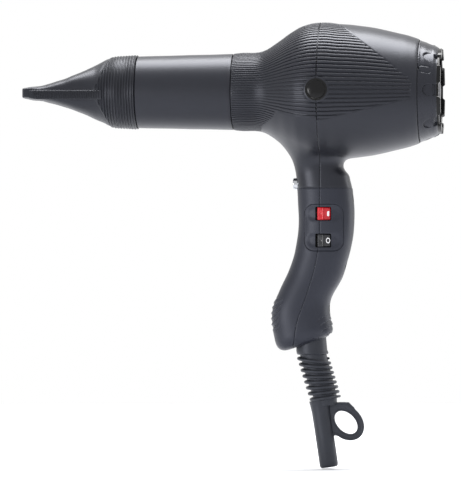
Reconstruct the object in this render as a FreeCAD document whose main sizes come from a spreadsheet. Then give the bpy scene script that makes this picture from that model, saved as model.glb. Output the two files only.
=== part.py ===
import FreeCAD, Part
import math
import os
import Sketcher
from FreeCAD import Placement, Rotation, Vector

# A professional hair dryer, in millimetres.
# X runs along the air axis: the nozzle points to -X and the filter cap to +X.
# Z is up, the switches face -Y, and the origin is the middle of the grip.

DIMENSIONS = {
    # the air axis above the origin, and the plane where the grip's two levels meet
    "air_axis": 105.0,
    "grip_seam": 38.5,
    "seam_gap": 0.15,
    "wall": 2.2,
    # round body
    "body_front": -60.5,
    "body_rear": 67.6,
    "body_front_radius": 26.4,
    "body_rear_radius": 35.6,
    # barrel
    "barrel_front_radius": 24.75,
    "barrel_rear_radius": 26.2,
    "barrel_shoulder": -127.2,
    "barrel_nose": -143.0,
    "barrel_nose_radius": 22.4,
    "barrel_bore_radius": 22.7,
    "barrel_spigot_radius": 24.1,
    "barrel_spigot_end": -46.0,
    # nozzle
    "nozzle_rear": -127.5,
    "nozzle_bore_radius": 22.65,
    "nozzle_bore_end": -144.5,
    "nozzle_wall": 1.25,
    # filter cap
    "cap_front": 67.9,
    "cap_rear": 83.5,
    "cap_front_radius": 35.3,
    "cap_rear_radius": 27.7,
    "cap_spigot_radius": 32.9,
    # fan duct
    "duct_rear": 60.0,
    "duct_radius": 33.5,
    "duct_throat_start": -12.0,
    "duct_front": -44.5,
    "duct_front_radius": 22.4,
    "duct_wall": 1.5,
    "motor_cup_radius": 19.2,
    # motor and fan
    "motor_radius": 17.7,
    "motor_front": -3.0,
    "motor_rear": 33.0,
    "shaft_radius": 1.6,
    "bearing_radius": 4.0,
    "bearing_clearance": 0.05,
    "armature_radius": 11.5,
    "fan_radius": 31.0,
    "fan_hub_radius": 9.0,
    "fan_front": 38.5,
    "fan_length": 15.0,
    "fan_blades": 11,
    # heater
    "heater_front": -121.0,
    "heater_rear": -50.0,
    "board_half_height": 18.4,
    "board_thickness": 0.8,
    "coil_radius": 19.0,
    "coil_wire_radius": 0.45,
    "coil_pitch": 4.6,
    "liner_radius": 22.2,
    # switches
    "rocker_x": 2.3,
    "heat_rocker_height": 20.9,
    "speed_rocker_height": 2.5,
    "rocker_pivot_depth": -11.2,
    "rocker_half_width": 4.4,
    "rocker_half_height": 4.4,
    "window_half_width": 5.45,
    "window_half_height": 4.75,
    "trunnion_radius": 0.9,
    # cold-shot button
    "button_height": 41.5,
    "button_radius": 4.2,
    "button_front": -19.7,
    # badge
    "badge_radius": 7.6,
    "badge_face": 48.0,
    # strain relief
    "boot_tilt": 8.2,
    "boot_x": -7.5,
    "boot_top": -65.5,
    "boot_length": 88.9,
    "loop_x": 16.8,
    "loop_height": -122.0,
    "loop_thickness": 5.0,
    "eye_long_radius": 9.3,
    "eye_short_radius": 6.2,
    "loop_band": 4.5,
    "cord_bore_radius": 3.9,
    "cord_bore_length": 55.0,
}

# The body's outline between its front and rear ends: distance along the air axis, radius.
BODY_OUTLINE = [
    (-49.4, 27.0), (-41.1, 27.8), (-35.6, 30.3), (-27.3, 36.0), (-19.0, 41.8),
    (-10.7, 45.8), (5.9, 47.5), (18.2, 46.15), (34.7, 44.1), (50.0, 40.9),
]

# Sections through the grip, from the body down: height, front, rear, half width.
GRIP_SECTIONS = [
    (85.0, -22.0, 14.0, 13.0),
    (64.7, -22.4, 13.5, 14.0),
    (54.5, -18.3, 14.7, 14.8),
    (44.2, -17.2, 19.4, 15.6),
    (27.0, -15.9, 22.0, 16.4),
    (13.2, -15.5, 22.0, 16.5),
    (-0.6, -17.2, 20.2, 16.5),
    (-14.3, -20.8, 16.6, 16.4),
    (-28.1, -27.0, 11.2, 16.4),
    (-41.9, -33.2, 5.4, 16.5),
    (-55.7, -34.2, 7.3, 16.5),
    (-63.0, -32.9, 8.4, 15.8),
    (-69.5, -29.5, 6.5, 13.8),
    (-71.6, -26.0, 4.0, 12.0),
]

# The seam between the front and rear shells: distance along the air axis, height.
SEAM = [(0.0, 7.0), (-1.1, -2.6), (-3.5, -15.7), (-7.1, -28.1), (-11.5, -41.2), (-18.6, -71.6)]

# Sections through the nozzle: distance along the air axis, top, bottom, half width, power.
NOZZLE_SECTIONS = [
    (-127.5, 25.7, -25.7, 25.7, 2.0),
    (-137.0, 25.15, -25.15, 25.15, 2.0),
    (-146.9, 24.0, -24.0, 24.0, 2.0),
    (-155.3, 19.8, -20.0, 24.2, 2.1),
    (-163.7, 15.4, -16.0, 25.2, 2.3),
    (-174.0, 10.5, -11.8, 27.0, 2.7),
    (-186.0, 6.2, -8.1, 29.0, 3.4),
    (-197.4, 3.5, -5.6, 30.6, 4.5),
    (-203.8, 2.6, -5.0, 31.2, 6.0),
]

doc = FreeCAD.newDocument("hair_dryer")
sheet = doc.addObject("Spreadsheet::Sheet", "dims")
nodes = []


def fill_sheet():
    """Write every driving dimension and every section into the spreadsheet."""
    cells = dict(DIMENSIONS)
    tables = [
        ("body_point", ("along", "radius"), BODY_OUTLINE),
        ("grip_section", ("height", "front", "rear", "half_width"), GRIP_SECTIONS),
        ("seam_point", ("along", "height"), SEAM),
        ("nozzle_section", ("along", "top", "bottom", "half_width", "power"), NOZZLE_SECTIONS),
    ]
    for label, columns, rows in tables:
        for number, row in enumerate(rows):
            for column, number_value in zip(columns, row):
                cells[f"{label}_{number}_{column}"] = number_value
    for line, (alias, number_value) in enumerate(cells.items(), start=1):
        sheet.set(f"A{line}", alias)
        sheet.set(f"B{line}", str(number_value))
        sheet.setAlias(f"B{line}", alias)
    doc.recompute()


def value(text):
    """The number that an expression on the spreadsheet gives."""
    return float(sheet.evalExpression(text))


def dim(alias):
    """The spreadsheet's value under an alias."""
    return float(sheet.get(alias))


def rows(label, columns, count):
    """The rows of one table, read back from the spreadsheet."""
    return [[dim(f"{label}_{k}_{column}") for column in columns] for k in range(count)]


# ---------------------------------------------------------------- helpers

def place(item, x="0", y="0", z="0", rotation=None):
    """Turn an object and bind its position to the spreadsheet."""
    if rotation is not None:
        item.Placement = Placement(Vector(0, 0, 0), rotation)
    for axis, text in zip("xyz", (x, y, z)):
        item.setExpression(f"Placement.Base.{axis}", text)
    return item


def node(item, name):
    """Name a finished sub-part: the label is the node's name."""
    item.Label = name
    nodes.append(item)
    return item


def make(kind, name, **sizes):
    """Add an object and bind each size given as text."""
    item = doc.addObject(kind, name)
    for key, text in sizes.items():
        item.setExpression(key, text)
    return item


def rod(name, radius, start, length, y="0", z="dims.air_axis"):
    """A round bar along +X."""
    item = make("Part::Cylinder", name, Radius=radius, Height=length)
    return place(item, start, y, z, Rotation(Vector(0, 1, 0), 90))


def cross_rod(name, radius, start, length, x, z):
    """A round bar along +Y."""
    item = make("Part::Cylinder", name, Radius=radius, Height=length)
    return place(item, x, start, z, Rotation(Vector(1, 0, 0), -90))


def block(name, x, y, z):
    """A box from three (start, length) pairs of expressions."""
    item = make("Part::Box", name, Length=x[1], Width=y[1], Height=z[1])
    return place(item, x[0], y[0], z[0])


def cut(name, base, *tools):
    """A base with one or more tools taken away."""
    for number, tool in enumerate(tools):
        item = doc.addObject("Part::Cut", f"{name}_cut{number}")
        item.Base = base
        item.Tool = tool
        base = item
    return base


def fuse(name, *shapes):
    """Several shapes made one."""
    item = doc.addObject("Part::MultiFuse", name)
    item.Shapes = list(shapes)
    return item


def common(name, *shapes):
    """The space that several shapes share."""
    item = doc.addObject("Part::MultiCommon", name)
    item.Shapes = list(shapes)
    return item


def group(name, *shapes):
    """Several separate solids in one node."""
    item = doc.addObject("Part::Compound", name)
    item.Links = list(shapes)
    return item


def part_body(name):
    """A PartDesign body."""
    return doc.addObject("PartDesign::Body", name)


def origin_feature(body, role):
    """A plane or an axis of a body's own origin."""
    return next(item for item in body.Origin.OriginFeatures if item.Role == role)


def outline(body, name, role, corners):
    """A closed sketch of straight lines, with each corner bound to the spreadsheet."""
    sketch = body.newObject("Sketcher::SketchObject", name)
    sketch.AttachmentSupport = [(origin_feature(body, role), "")]
    sketch.MapMode = "FlatFace"
    points = [Vector(value(x), value(y), 0) for x, y in corners]
    count = len(points)
    for number in range(count):
        sketch.addGeometry(Part.LineSegment(points[number], points[(number + 1) % count]))
    for number in range(count):
        following = (number + 1) % count
        sketch.addConstraint(Sketcher.Constraint("Coincident", number, 2, following, 1))
    for number, corner in enumerate(corners):
        for kind, text in zip(("DistanceX", "DistanceY"), corner):
            constraint = Sketcher.Constraint(kind, -1, 1, number, 1, value(text))
            index = sketch.addConstraint(constraint)
            sketch.setExpression(f"Constraints[{index}]", text)
    return sketch


def turned(body, name, corners):
    """A revolution about the body's X axis."""
    sketch = outline(body, f"{name}_outline", "XZ_Plane", corners)
    feature = body.newObject("PartDesign::Revolution", name)
    feature.Profile = sketch
    feature.ReferenceAxis = (sketch, ["H_Axis"])
    feature.Angle = 360
    return feature


def padded(body, name, role, corners, length, midplane=True):
    """A pad of an outline."""
    sketch = outline(body, f"{name}_outline", role, corners)
    feature = body.newObject("PartDesign::Pad", name)
    feature.Profile = sketch
    feature.setExpression("Length", length)
    feature.Midplane = midplane
    return feature


def around(body, name, features, count):
    """Repeat features around the body's X axis."""
    doc.recompute()
    pattern = body.newObject("PartDesign::PolarPattern", name)
    pattern.Originals = features
    pattern.Axis = (origin_feature(body, "X_Axis"), [""])
    pattern.Angle = 360
    pattern.setExpression("Occurrences", count)
    body.Tip = pattern
    return pattern


def turned_node(name, corners):
    """A sub-part that is one revolution about the air axis."""
    body = part_body(name)
    turned(body, f"{name}_turn", corners)
    place(body, z="dims.air_axis")
    return node(body, name)


# ---------------------------------------------------------------- casing

def body_solid(name, offset, overrun):
    """The round body's outer shape, taken in by an offset and run past its two ends."""
    points = [(dim("body_front"), dim("body_front_radius"))]
    points += rows("body_point", ("along", "radius"), len(BODY_OUTLINE))
    points += [(dim("body_rear"), dim("body_rear_radius"))]
    curve_points = [Vector(x, 0, radius - offset) for x, radius in points]
    curve = Part.BSplineCurve()
    curve.interpolate(curve_points)
    first = Vector(curve_points[0].x - overrun, 0, curve_points[0].z)
    last = Vector(curve_points[-1].x + overrun, 0, curve_points[-1].z)
    edges = [curve.toShape()]
    if overrun > 0:
        edges = [Part.makeLine(first, curve_points[0])] + edges
        edges += [Part.makeLine(curve_points[-1], last)]
    edges += [
        Part.makeLine(last, Vector(last.x, 0, 0)),
        Part.makeLine(Vector(last.x, 0, 0), Vector(first.x, 0, 0)),
        Part.makeLine(Vector(first.x, 0, 0), first),
    ]
    face = Part.Face(Part.Wire(Part.__sortEdges__(edges)))
    item = doc.addObject("Part::Feature", name)
    item.Shape = face.revolve(Vector(0, 0, 0), Vector(1, 0, 0), 360)
    item.Placement = Placement(Vector(0, 0, dim("air_axis")), Rotation())
    return item


def grip_solid(name, offset, last_section):
    """The grip as a loft through ellipses down to one section, taken in by an offset."""
    sections = []
    for number in range(last_section + 1):
        cell = f"dims.grip_section_{number}"
        section = make(
            "Part::Ellipse", f"{name}_section_{number}",
            MajorRadius=f"({cell}_rear - {cell}_front) / 2 - {offset}",
            MinorRadius=f"{cell}_half_width - {offset}",
        )
        place(section, f"({cell}_front + {cell}_rear) / 2", "0", f"{cell}_height")
        sections.append(section)
    loft = doc.addObject("Part::Loft", name)
    loft.Sections = sections
    loft.Solid = True
    return loft


def side_region(name, side, gap):
    """Everything in front of the seam (side -1) or behind it (side +1)."""
    shift = side * gap / 2
    seam = rows("seam_point", ("along", "height"), len(SEAM))
    points = [Vector(x + shift, 0, z) for x, z in seam]
    curve = Part.BSplineCurve()
    curve.interpolate(points)
    reach = 300.0
    top = Vector(points[0].x, 0, reach)
    foot = Vector(points[-1].x, 0, points[-1].z - 30)
    corners = [foot, Vector(side * reach, 0, foot.z), Vector(side * reach, 0, reach), top]
    edges = [curve.toShape(), Part.makeLine(top, points[0]), Part.makeLine(points[-1], foot)]
    edges += [Part.makeLine(a, b) for a, b in zip(corners, corners[1:])]
    face = Part.Face(Part.Wire(Part.__sortEdges__(edges)))
    item = doc.addObject("Part::Feature", name)
    item.Shape = face.extrude(Vector(0, 2 * reach, 0))
    item.Placement = Placement(Vector(0, -reach, 0), Rotation())
    return item


def screw_places():
    """The grip's three screws: name, height, x of the head's seat, x of the tip."""
    return [("upper", "31.5", "14", "-9"), ("middle", "-15", "9", "-15"), ("lower", "-44", "-1.5", "-26")]


def casing():
    """The two shells of the body and the two halves of the grip."""
    foot = len(GRIP_SECTIONS) - 1
    outside = fuse("casing_outside", body_solid("body_outside", 0, 0), grip_solid("grip_outside", "0", foot))
    inside = fuse("casing_inside", body_solid("body_inside", dim("wall"), 3),
                  grip_solid("grip_inside", "dims.wall", foot - 1))
    boss_limit = grip_solid("boss_limit", "dims.wall / 2", foot)
    skin = cut("casing_skin", outside, inside)
    bosses = []
    holes = []
    for name, height, seat, tip in screw_places():
        bar = rod(f"{name}_boss_bar", "3.6", f"{tip} - 12", f"({seat}) - ({tip}) + 38", z=height)
        bosses.append(common(f"{name}_boss", bar, boss_limit))
        holes.append(rod(f"{name}_head_hole", "2.9", seat, "40", z=height))
        holes.append(rod(f"{name}_screw_hole", "1.3", tip, f"({seat}) - ({tip}) + 1", z=height))
    skin = fuse("casing_bossed", skin, *bosses)
    holes.append(rod("button_hole", "dims.button_radius + 0.3", "-40", "34", z="dims.button_height"))
    for name in ("heat", "speed"):
        holes.append(block(
            f"{name}_window",
            ("dims.rocker_x - dims.window_half_width", "2 * dims.window_half_width"),
            ("-30", "25"),
            (f"dims.{name}_rocker_height - dims.window_half_height", "2 * dims.window_half_height"),
        ))
    for side, start in (("left", "-dims.badge_face"), ("right", "dims.badge_face - 1.9")):
        holes.append(cross_rod(
            f"badge_recess_{side}", "dims.badge_radius + 0.1", start, "1.9", "0", "dims.air_axis"))
    boot_hole = make("Part::Cylinder", "boot_hole", Radius="9.1", Height="30")
    tilt = Rotation(Vector(0, 1, 0), 180 - dim("boot_tilt"))
    holes.append(place(boot_hole, "dims.boot_x - 1.5", "0", "dims.boot_top + 10", tilt))
    skin = cut("casing", skin, *holes)
    front = side_region("front_region", -1, dim("seam_gap"))
    rear = side_region("rear_region", 1, dim("seam_gap"))
    wide = ("-150", "300")
    above = block("above_grip", wide, wide, ("dims.grip_seam + dims.seam_gap / 2", "200"))
    below = block("below_body", wide, wide, ("-120", "120 + dims.grip_seam - dims.seam_gap / 2"))
    node(common("front_shell", skin, front, above), "front_shell")
    node(common("rear_shell", skin, rear, above), "rear_shell")
    node(common("front_handle", skin, front, below), "front_handle")
    node(common("rear_handle", skin, rear, below), "rear_handle")


def handle_screws():
    """Three self-tapping screws that hold the grip's halves together."""
    screws = []
    for name, height, seat, tip in screw_places():
        shank = rod(f"{name}_shank", "1.25", f"({tip}) + 1", f"({seat}) - ({tip}) - 1", z=height)
        head = rod(f"{name}_head", "2.6", seat, "2", z=height)
        cross = block(f"{name}_drive", (f"{seat} + 1.2", "1"), ("-0.4", "0.8"), (f"{height} - 1.6", "3.2"))
        screws.append(cut(f"{name}_screw", fuse(f"{name}_blank", shank, head), cross))
    node(group("handle_screws", *screws), "handle_screws")


def badges():
    """A plain round badge on each side of the body."""
    for name, start in (("badge_left", "-dims.badge_face"), ("badge_right", "dims.badge_face - 1.8")):
        disc = cross_rod(name, "dims.badge_radius", start, "1.8", "0", "dims.air_axis")
        node(disc, name)


# ---------------------------------------------------------------- barrel and nozzle

def barrel():
    """The tube that carries the nozzle and holds the heater."""
    turned_node("barrel", [
        ("dims.barrel_nose", "dims.barrel_nose_radius"),
        ("dims.barrel_shoulder", "dims.barrel_nose_radius"),
        ("dims.barrel_shoulder", "dims.barrel_front_radius"),
        ("dims.body_front - 0.6", "dims.barrel_rear_radius"),
        ("dims.body_front - 0.6", "dims.barrel_spigot_radius"),
        ("dims.barrel_spigot_end", "dims.barrel_spigot_radius"),
        ("dims.barrel_spigot_end", "dims.barrel_bore_radius"),
        ("dims.barrel_shoulder + 2", "dims.barrel_bore_radius"),
        ("dims.barrel_shoulder + 2", "dims.barrel_nose_radius - 1.5"),
        ("dims.barrel_nose", "dims.barrel_nose_radius - 1.5"),
    ])


def barrel_liner():
    """A thin mica tube between the heater and the barrel."""
    turned_node("barrel_liner", [
        ("dims.heater_front - 2", "dims.liner_radius"),
        ("dims.heater_rear + 2", "dims.liner_radius"),
        ("dims.heater_rear + 2", "dims.liner_radius - 0.5"),
        ("dims.heater_front - 2", "dims.liner_radius - 0.5"),
    ])


def outlet_guard():
    """A grille of three rings and a cross in the barrel's mouth."""
    body = part_body("outlet_guard")
    start = "dims.barrel_nose + 1"
    end = "dims.barrel_nose + 3.4"
    for number, (inner, outer) in enumerate((("5.6", "6.8"), ("12.4", "13.6"), ("19.4", "20.8"))):
        turned(body, f"guard_ring_{number}", [(start, inner), (end, inner), (end, outer), (start, outer)])
    spokes = (("20", "0.7"), ("0.7", "20"))
    for number, (half_y, half_z) in enumerate(spokes):
        arm = [(f"-{half_y}", f"-{half_z}"), (half_y, f"-{half_z}"), (half_y, half_z), (f"-{half_y}", half_z)]
        feature = padded(body, f"guard_arm_{number}", "YZ_Plane", arm, "2.4", midplane=False)
        feature.Profile[0].setExpression("AttachmentOffset.Base.z", start)
    place(body, z="dims.air_axis")
    node(body, "outlet_guard")


def rounded_section(along, top, bottom, half_width, power):
    """A closed curve across the air axis: a circle at power 2, squarer above it."""
    points = []
    count = 32
    for number in range(count):
        angle = 2 * math.pi * number / count
        c = math.cos(angle)
        s = math.sin(angle)
        y = half_width * math.copysign(abs(c) ** (2 / power), c)
        z = (top - bottom) / 2 * math.copysign(abs(s) ** (2 / power), s)
        points.append(Vector(along, y, z + (top + bottom) / 2))
    curve = Part.BSplineCurve()
    curve.interpolate(Points=points, PeriodicFlag=True)
    return Part.Wire(curve.toShape())


def nozzle():
    """A fishtail nozzle: a round collar that flattens to a wide slit."""
    columns = ("along", "top", "bottom", "half_width", "power")
    sections = rows("nozzle_section", columns, len(NOZZLE_SECTIONS))
    wall = dim("nozzle_wall")
    outer = doc.addObject("Part::Feature", "nozzle_outside")
    outer.Shape = Part.makeLoft([rounded_section(*section) for section in sections], True, True)
    hollow = [(dim("nozzle_bore_end") + 0.5, 21.6, -21.6, 21.6, 2.0)]
    for along, top, bottom, half_width, power in sections[3:]:
        hollow.append((along, top - wall, bottom + wall, half_width - wall, power))
    along, top, bottom, half_width, power = hollow[-1]
    hollow.append((along - 3, top, bottom, half_width, power))
    inner = doc.addObject("Part::Feature", "nozzle_inside")
    inner.Shape = Part.makeLoft([rounded_section(*section) for section in hollow], True, True)
    bore = rod("nozzle_bore", "dims.nozzle_bore_radius", "dims.nozzle_bore_end",
               "dims.nozzle_rear - dims.nozzle_bore_end + 5", z="0")
    nozzle_shape = cut("nozzle", outer, inner, bore)
    nozzle_shape.Placement = Placement(Vector(0, 0, dim("air_axis")), Rotation())
    node(nozzle_shape, "nozzle")


# ---------------------------------------------------------------- intake

def filter_cap():
    """The rear cap: a rounded ring with a spigot, a spoked face and open notches."""
    body = part_body("filter_cap")
    turned(body, "cap_ring", [
        ("dims.cap_front", "dims.cap_front_radius"),
        ("dims.cap_front + 7", "dims.cap_front_radius - 2.8"),
        ("dims.cap_rear - 2.5", "dims.cap_rear_radius + 2.2"),
        ("dims.cap_rear - 0.8", "dims.cap_rear_radius + 0.9"),
        ("dims.cap_rear", "dims.cap_rear_radius"),
        ("dims.cap_rear", "dims.cap_rear_radius - 2"),
        ("dims.cap_rear - 2.5", "dims.cap_rear_radius - 1.6"),
        ("dims.cap_front + 5", "dims.cap_spigot_radius - 1.8"),
        ("dims.cap_front - 5", "dims.cap_spigot_radius - 1.8"),
        ("dims.cap_front - 5", "dims.cap_spigot_radius"),
        ("dims.cap_front", "dims.cap_spigot_radius"),
    ])
    face = [("dims.cap_rear - 4.5", "0"), ("dims.cap_rear - 2.5", "0"),
            ("dims.cap_rear - 2.5", "8"), ("dims.cap_rear - 4.5", "8")]
    turned(body, "cap_hub", face)
    for number, radius in enumerate(("12.5", "17", "21.5")):
        turned(body, f"cap_ring_{number}", [
            ("dims.cap_rear - 4.5", radius), ("dims.cap_rear - 2.5", radius),
            ("dims.cap_rear - 2.5", f"{radius} + 1.6"), ("dims.cap_rear - 4.5", f"{radius} + 1.6")])
    spoke = padded(body, "cap_spoke", "XZ_Plane", [
        ("dims.cap_rear - 4.5", "7"), ("dims.cap_rear - 2.5", "7"),
        ("dims.cap_rear - 2.5", "dims.cap_rear_radius - 1.2"),
        ("dims.cap_rear - 4.5", "dims.cap_rear_radius - 1.2")], "1.8")
    around(body, "cap_spokes", [spoke], "12")
    doc.recompute()
    sketch = outline(body, "cap_notch_outline", "XZ_Plane", [
        ("dims.cap_front + 3", "dims.cap_rear_radius + 1"), ("dims.cap_rear - 5", "dims.cap_rear_radius + 1"),
        ("dims.cap_rear - 5", "dims.cap_front_radius"), ("dims.cap_front + 3", "dims.cap_front_radius")])
    notch = body.newObject("PartDesign::Pocket", "cap_notch")
    notch.Profile = sketch
    notch.setExpression("Length", "7")
    notch.Midplane = True
    around(body, "cap_notches", [notch], "8")
    place(body, z="dims.air_axis")
    node(body, "filter_cap")


def filter_mesh():
    """The fine screen that rests behind the cap's face."""
    turned_node("filter_mesh", [
        ("dims.cap_rear - 5.6", "0"), ("dims.cap_rear - 4.8", "0"),
        ("dims.cap_rear - 4.8", "25.2"), ("dims.cap_rear - 5.6", "25.2")])


# ---------------------------------------------------------------- duct, motor and fan

def fan_duct():
    """The shroud around the fan, with guide vanes and a cup for the motor."""
    body = part_body("fan_duct")
    turned(body, "duct_shroud", [
        ("dims.duct_rear", "dims.duct_radius"),
        ("dims.duct_throat_start", "dims.duct_radius"),
        ("dims.duct_front", "dims.duct_front_radius"),
        ("dims.duct_front", "dims.duct_front_radius - dims.duct_wall"),
        ("dims.duct_throat_start", "dims.duct_radius - dims.duct_wall"),
        ("dims.duct_rear", "dims.duct_radius - dims.duct_wall"),
    ])
    turned(body, "motor_cup", [
        ("dims.motor_front - 1", "dims.motor_cup_radius"),
        ("dims.motor_rear + 1", "dims.motor_cup_radius"),
        ("dims.motor_rear + 1", "dims.motor_radius + 0.1"),
        ("dims.motor_front - 1", "dims.motor_radius + 0.1"),
    ])
    vane = padded(body, "vane", "XZ_Plane", [
        ("dims.motor_front + 4", "dims.motor_cup_radius - 0.5"),
        ("dims.motor_rear - 4", "dims.motor_cup_radius - 0.5"),
        ("dims.motor_rear - 4", "dims.duct_radius - 0.7"),
        ("dims.motor_front + 4", "dims.duct_radius - 0.7"),
    ], "1.4")
    around(body, "vanes", [vane], "7")
    place(body, z="dims.air_axis")
    node(body, "fan_duct")


def motor_housing():
    """The motor's can, its rear cap, two bearings, magnets and brushes."""
    turned_node("motor_can", [
        ("dims.motor_front", "dims.bearing_radius"), ("dims.motor_front", "dims.motor_radius"),
        ("dims.motor_rear", "dims.motor_radius"), ("dims.motor_rear", "dims.motor_radius - 1"),
        ("dims.motor_front + 1", "dims.motor_radius - 1"), ("dims.motor_front + 1", "dims.bearing_radius")])
    turned_node("motor_cap", [
        ("dims.motor_rear", "dims.bearing_radius"), ("dims.motor_rear", "dims.motor_radius"),
        ("dims.motor_rear + 2", "dims.motor_radius"), ("dims.motor_rear + 2", "dims.bearing_radius")])
    ends = (("front_bearing", "dims.motor_front - 1"), ("rear_bearing", "dims.motor_rear - 1"))
    for name, start in ends:
        turned_node(name, [
            (start, "dims.shaft_radius + dims.bearing_clearance"),
            (f"{start} + 4", "dims.shaft_radius + dims.bearing_clearance"),
            (f"{start} + 4", "dims.bearing_radius"), (start, "dims.bearing_radius")])
    ring = cut("magnet_ring", rod("magnet_outside", "dims.motor_radius - 1", "3", "20"),
               rod("magnet_inside", "dims.armature_radius + 0.6", "2", "22"))
    split = block("magnet_split", ("2", "22"), ("-20", "40"), ("dims.air_axis - 4", "8"))
    node(cut("motor_magnets", ring, split), "motor_magnets")
    brushes = []
    for name, start in (("left", "-11"), ("right", "4.7")):
        brushes.append(block(f"brush_{name}", ("27", "3"), (start, "6.3"), ("dims.air_axis - 1.5", "3")))
    node(group("motor_brushes", *brushes), "motor_brushes")


def rotor():
    """What turns: the shaft, the armature, the commutator and the fan."""
    shaft = rod("motor_shaft", "dims.shaft_radius", "dims.motor_front - 3",
                "dims.fan_front + dims.fan_length + 7")
    node(shaft, "motor_shaft")
    body = part_body("armature")
    turned(body, "armature_stack", [
        ("5", "dims.shaft_radius"), ("21", "dims.shaft_radius"),
        ("21", "dims.armature_radius"), ("5", "dims.armature_radius")])
    doc.recompute()
    sketch = outline(body, "armature_slot_outline", "XZ_Plane",
                     [("4", "6"), ("22", "6"), ("22", "12"), ("4", "12")])
    slot = body.newObject("PartDesign::Pocket", "armature_slot")
    slot.Profile = sketch
    slot.Length = 2.4
    slot.Midplane = True
    around(body, "armature_slots", [slot], "5")
    place(body, z="dims.air_axis")
    node(body, "armature")
    turned_node("commutator", [
        ("25", "dims.shaft_radius"), ("30.5", "dims.shaft_radius"), ("30.5", "4.4"), ("25", "4.4")])


def fan():
    """An impeller with twisted blades on a round hub."""
    body = part_body("fan")
    turned(body, "fan_hub", [
        ("dims.fan_front", "dims.shaft_radius"), ("dims.fan_front", "dims.fan_hub_radius"),
        ("dims.fan_front + dims.fan_length - 3", "dims.fan_hub_radius"),
        ("dims.fan_front + dims.fan_length", "dims.fan_hub_radius - 4"),
        ("dims.fan_front + dims.fan_length", "dims.shaft_radius")])
    middle = "dims.fan_front + dims.fan_length / 2"
    sections = []
    ends = (("root", "dims.fan_hub_radius - 1", "5.6", "3"), ("tip", "dims.fan_radius - 0.5", "4", "7.4"))
    for name, radius, reach, lean in ends:
        sketch = outline(body, f"blade_{name}", "XY_Plane", [
            (f"{middle} - {reach}", f"-{lean} - 0.6"), (f"{middle} + {reach}", f"{lean} - 0.6"),
            (f"{middle} + {reach}", f"{lean} + 0.6"), (f"{middle} - {reach}", f"-{lean} + 0.6")])
        sketch.setExpression("AttachmentOffset.Base.z", radius)
        sections.append(sketch)
    blade = body.newObject("PartDesign::AdditiveLoft", "blade")
    blade.Profile = sections[0]
    blade.Sections = sections[1:]
    around(body, "blades", [blade], "dims.fan_blades")
    place(body, z="dims.air_axis")
    node(body, "fan")


# ---------------------------------------------------------------- heater

def heater():
    """Two crossed mica boards, two heating coils and two cut-outs."""
    middle = "(dims.heater_front + dims.heater_rear) / 2"
    length = "dims.heater_rear - dims.heater_front"
    thin = ("-dims.board_thickness / 2", "dims.board_thickness")
    tall = ("-dims.board_half_height", "2 * dims.board_half_height")
    slot = ("-dims.board_thickness / 2 - 0.1", "dims.board_thickness + 0.2")
    along = ("dims.heater_front", length)
    upright = block("upright_blank", along, thin, (f"dims.air_axis + {tall[0]}", tall[1]))
    slot_height = (f"dims.air_axis + ({slot[0]})", slot[1])
    upright_slot = block("upright_slot", (f"{middle} - 0.1", "60"), ("-2", "4"), slot_height)
    node(cut("mica_board_upright", upright, upright_slot), "mica_board_upright")
    flat = block("flat_blank", along, tall, (f"dims.air_axis + ({thin[0]})", thin[1]))
    flat_slot = block("flat_slot", (f"{middle} - 60", "60.1"), slot, ("dims.air_axis - 2", "4"))
    node(cut("mica_board_flat", flat, flat_slot), "mica_board_flat")
    coils = (("heater_coil_front", "dims.heater_front + 4"), ("heater_coil_rear", f"{middle} + 2"))
    for name, start in coils:
        turns = []
        for number in range(7):
            ring = make("Part::Torus", f"{name}_{number}",
                        Radius1="dims.coil_radius", Radius2="dims.coil_wire_radius")
            position = f"{start} + {number} * dims.coil_pitch"
            turns.append(place(ring, position, "0", "dims.air_axis", Rotation(Vector(0, 1, 0), 90)))
        node(group(name, *turns), name)
    node(block("thermostat", ("-72", "13"), ("0.5", "4"), ("dims.air_axis + 3", "8")), "thermostat")
    node(rod("thermal_fuse", "1.6", "-72", "10", y="2.2", z="dims.air_axis - 8"), "thermal_fuse")


# ---------------------------------------------------------------- switches

def switch_body(name):
    """A rocker's switch body: a box behind the grip's side, open towards the finger."""
    height = f"dims.{name}_rocker_height"
    box = block(f"{name}_switch_box", ("dims.rocker_x - 7.2", "14.4"), ("-12.1", "13.1"),
                (f"{height} - 6.2", "12.4"))
    room = block(f"{name}_switch_room", ("dims.rocker_x - 5.6", "11.2"), ("-20", "13.8"),
                 (f"{height} - 4.7", "9.4"))
    pivot = make("Part::Cylinder", f"{name}_pivot_hole", Radius="dims.trunnion_radius + 0.07", Height="11.4")
    place(pivot, "dims.rocker_x", "dims.rocker_pivot_depth", f"{height} - 5.7")
    node(cut(f"{name}_switch_body", box, room, pivot), f"{name}_switch_body")


def rocker(name):
    """A rocker that turns on two short trunnions: its left end is raised at rest."""
    body = part_body(f"{name}_rocker_block")
    half = "dims.rocker_half_width"
    padded(body, f"{name}_rocker_top", "XY_Plane", [
        (f"-{half}", "0"), (f"-{half} * 0.72", "3.2"), (f"{half} * 0.72", "3.2"), (half, "0"),
        (half, "-4.4"), (f"{half} * 0.5", "-3.7"), ("0", "-3.45"),
        (f"-{half} * 0.5", "-3.7"), (f"-{half}", "-4.4"),
    ], "2 * dims.rocker_half_height")
    tilted = place(body, "dims.rocker_x", "dims.rocker_pivot_depth", f"dims.{name}_rocker_height",
                   Rotation(Vector(0, 0, 1), 10))
    pin = make("Part::Cylinder", f"{name}_trunnions", Radius="dims.trunnion_radius",
               Height="2 * dims.rocker_half_height + 2.2")
    place(pin, "dims.rocker_x", "dims.rocker_pivot_depth",
          f"dims.{name}_rocker_height - dims.rocker_half_height - 1.1")
    node(fuse(f"{name}_rocker_node", tilted, pin), f"{name}_rocker")


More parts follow.
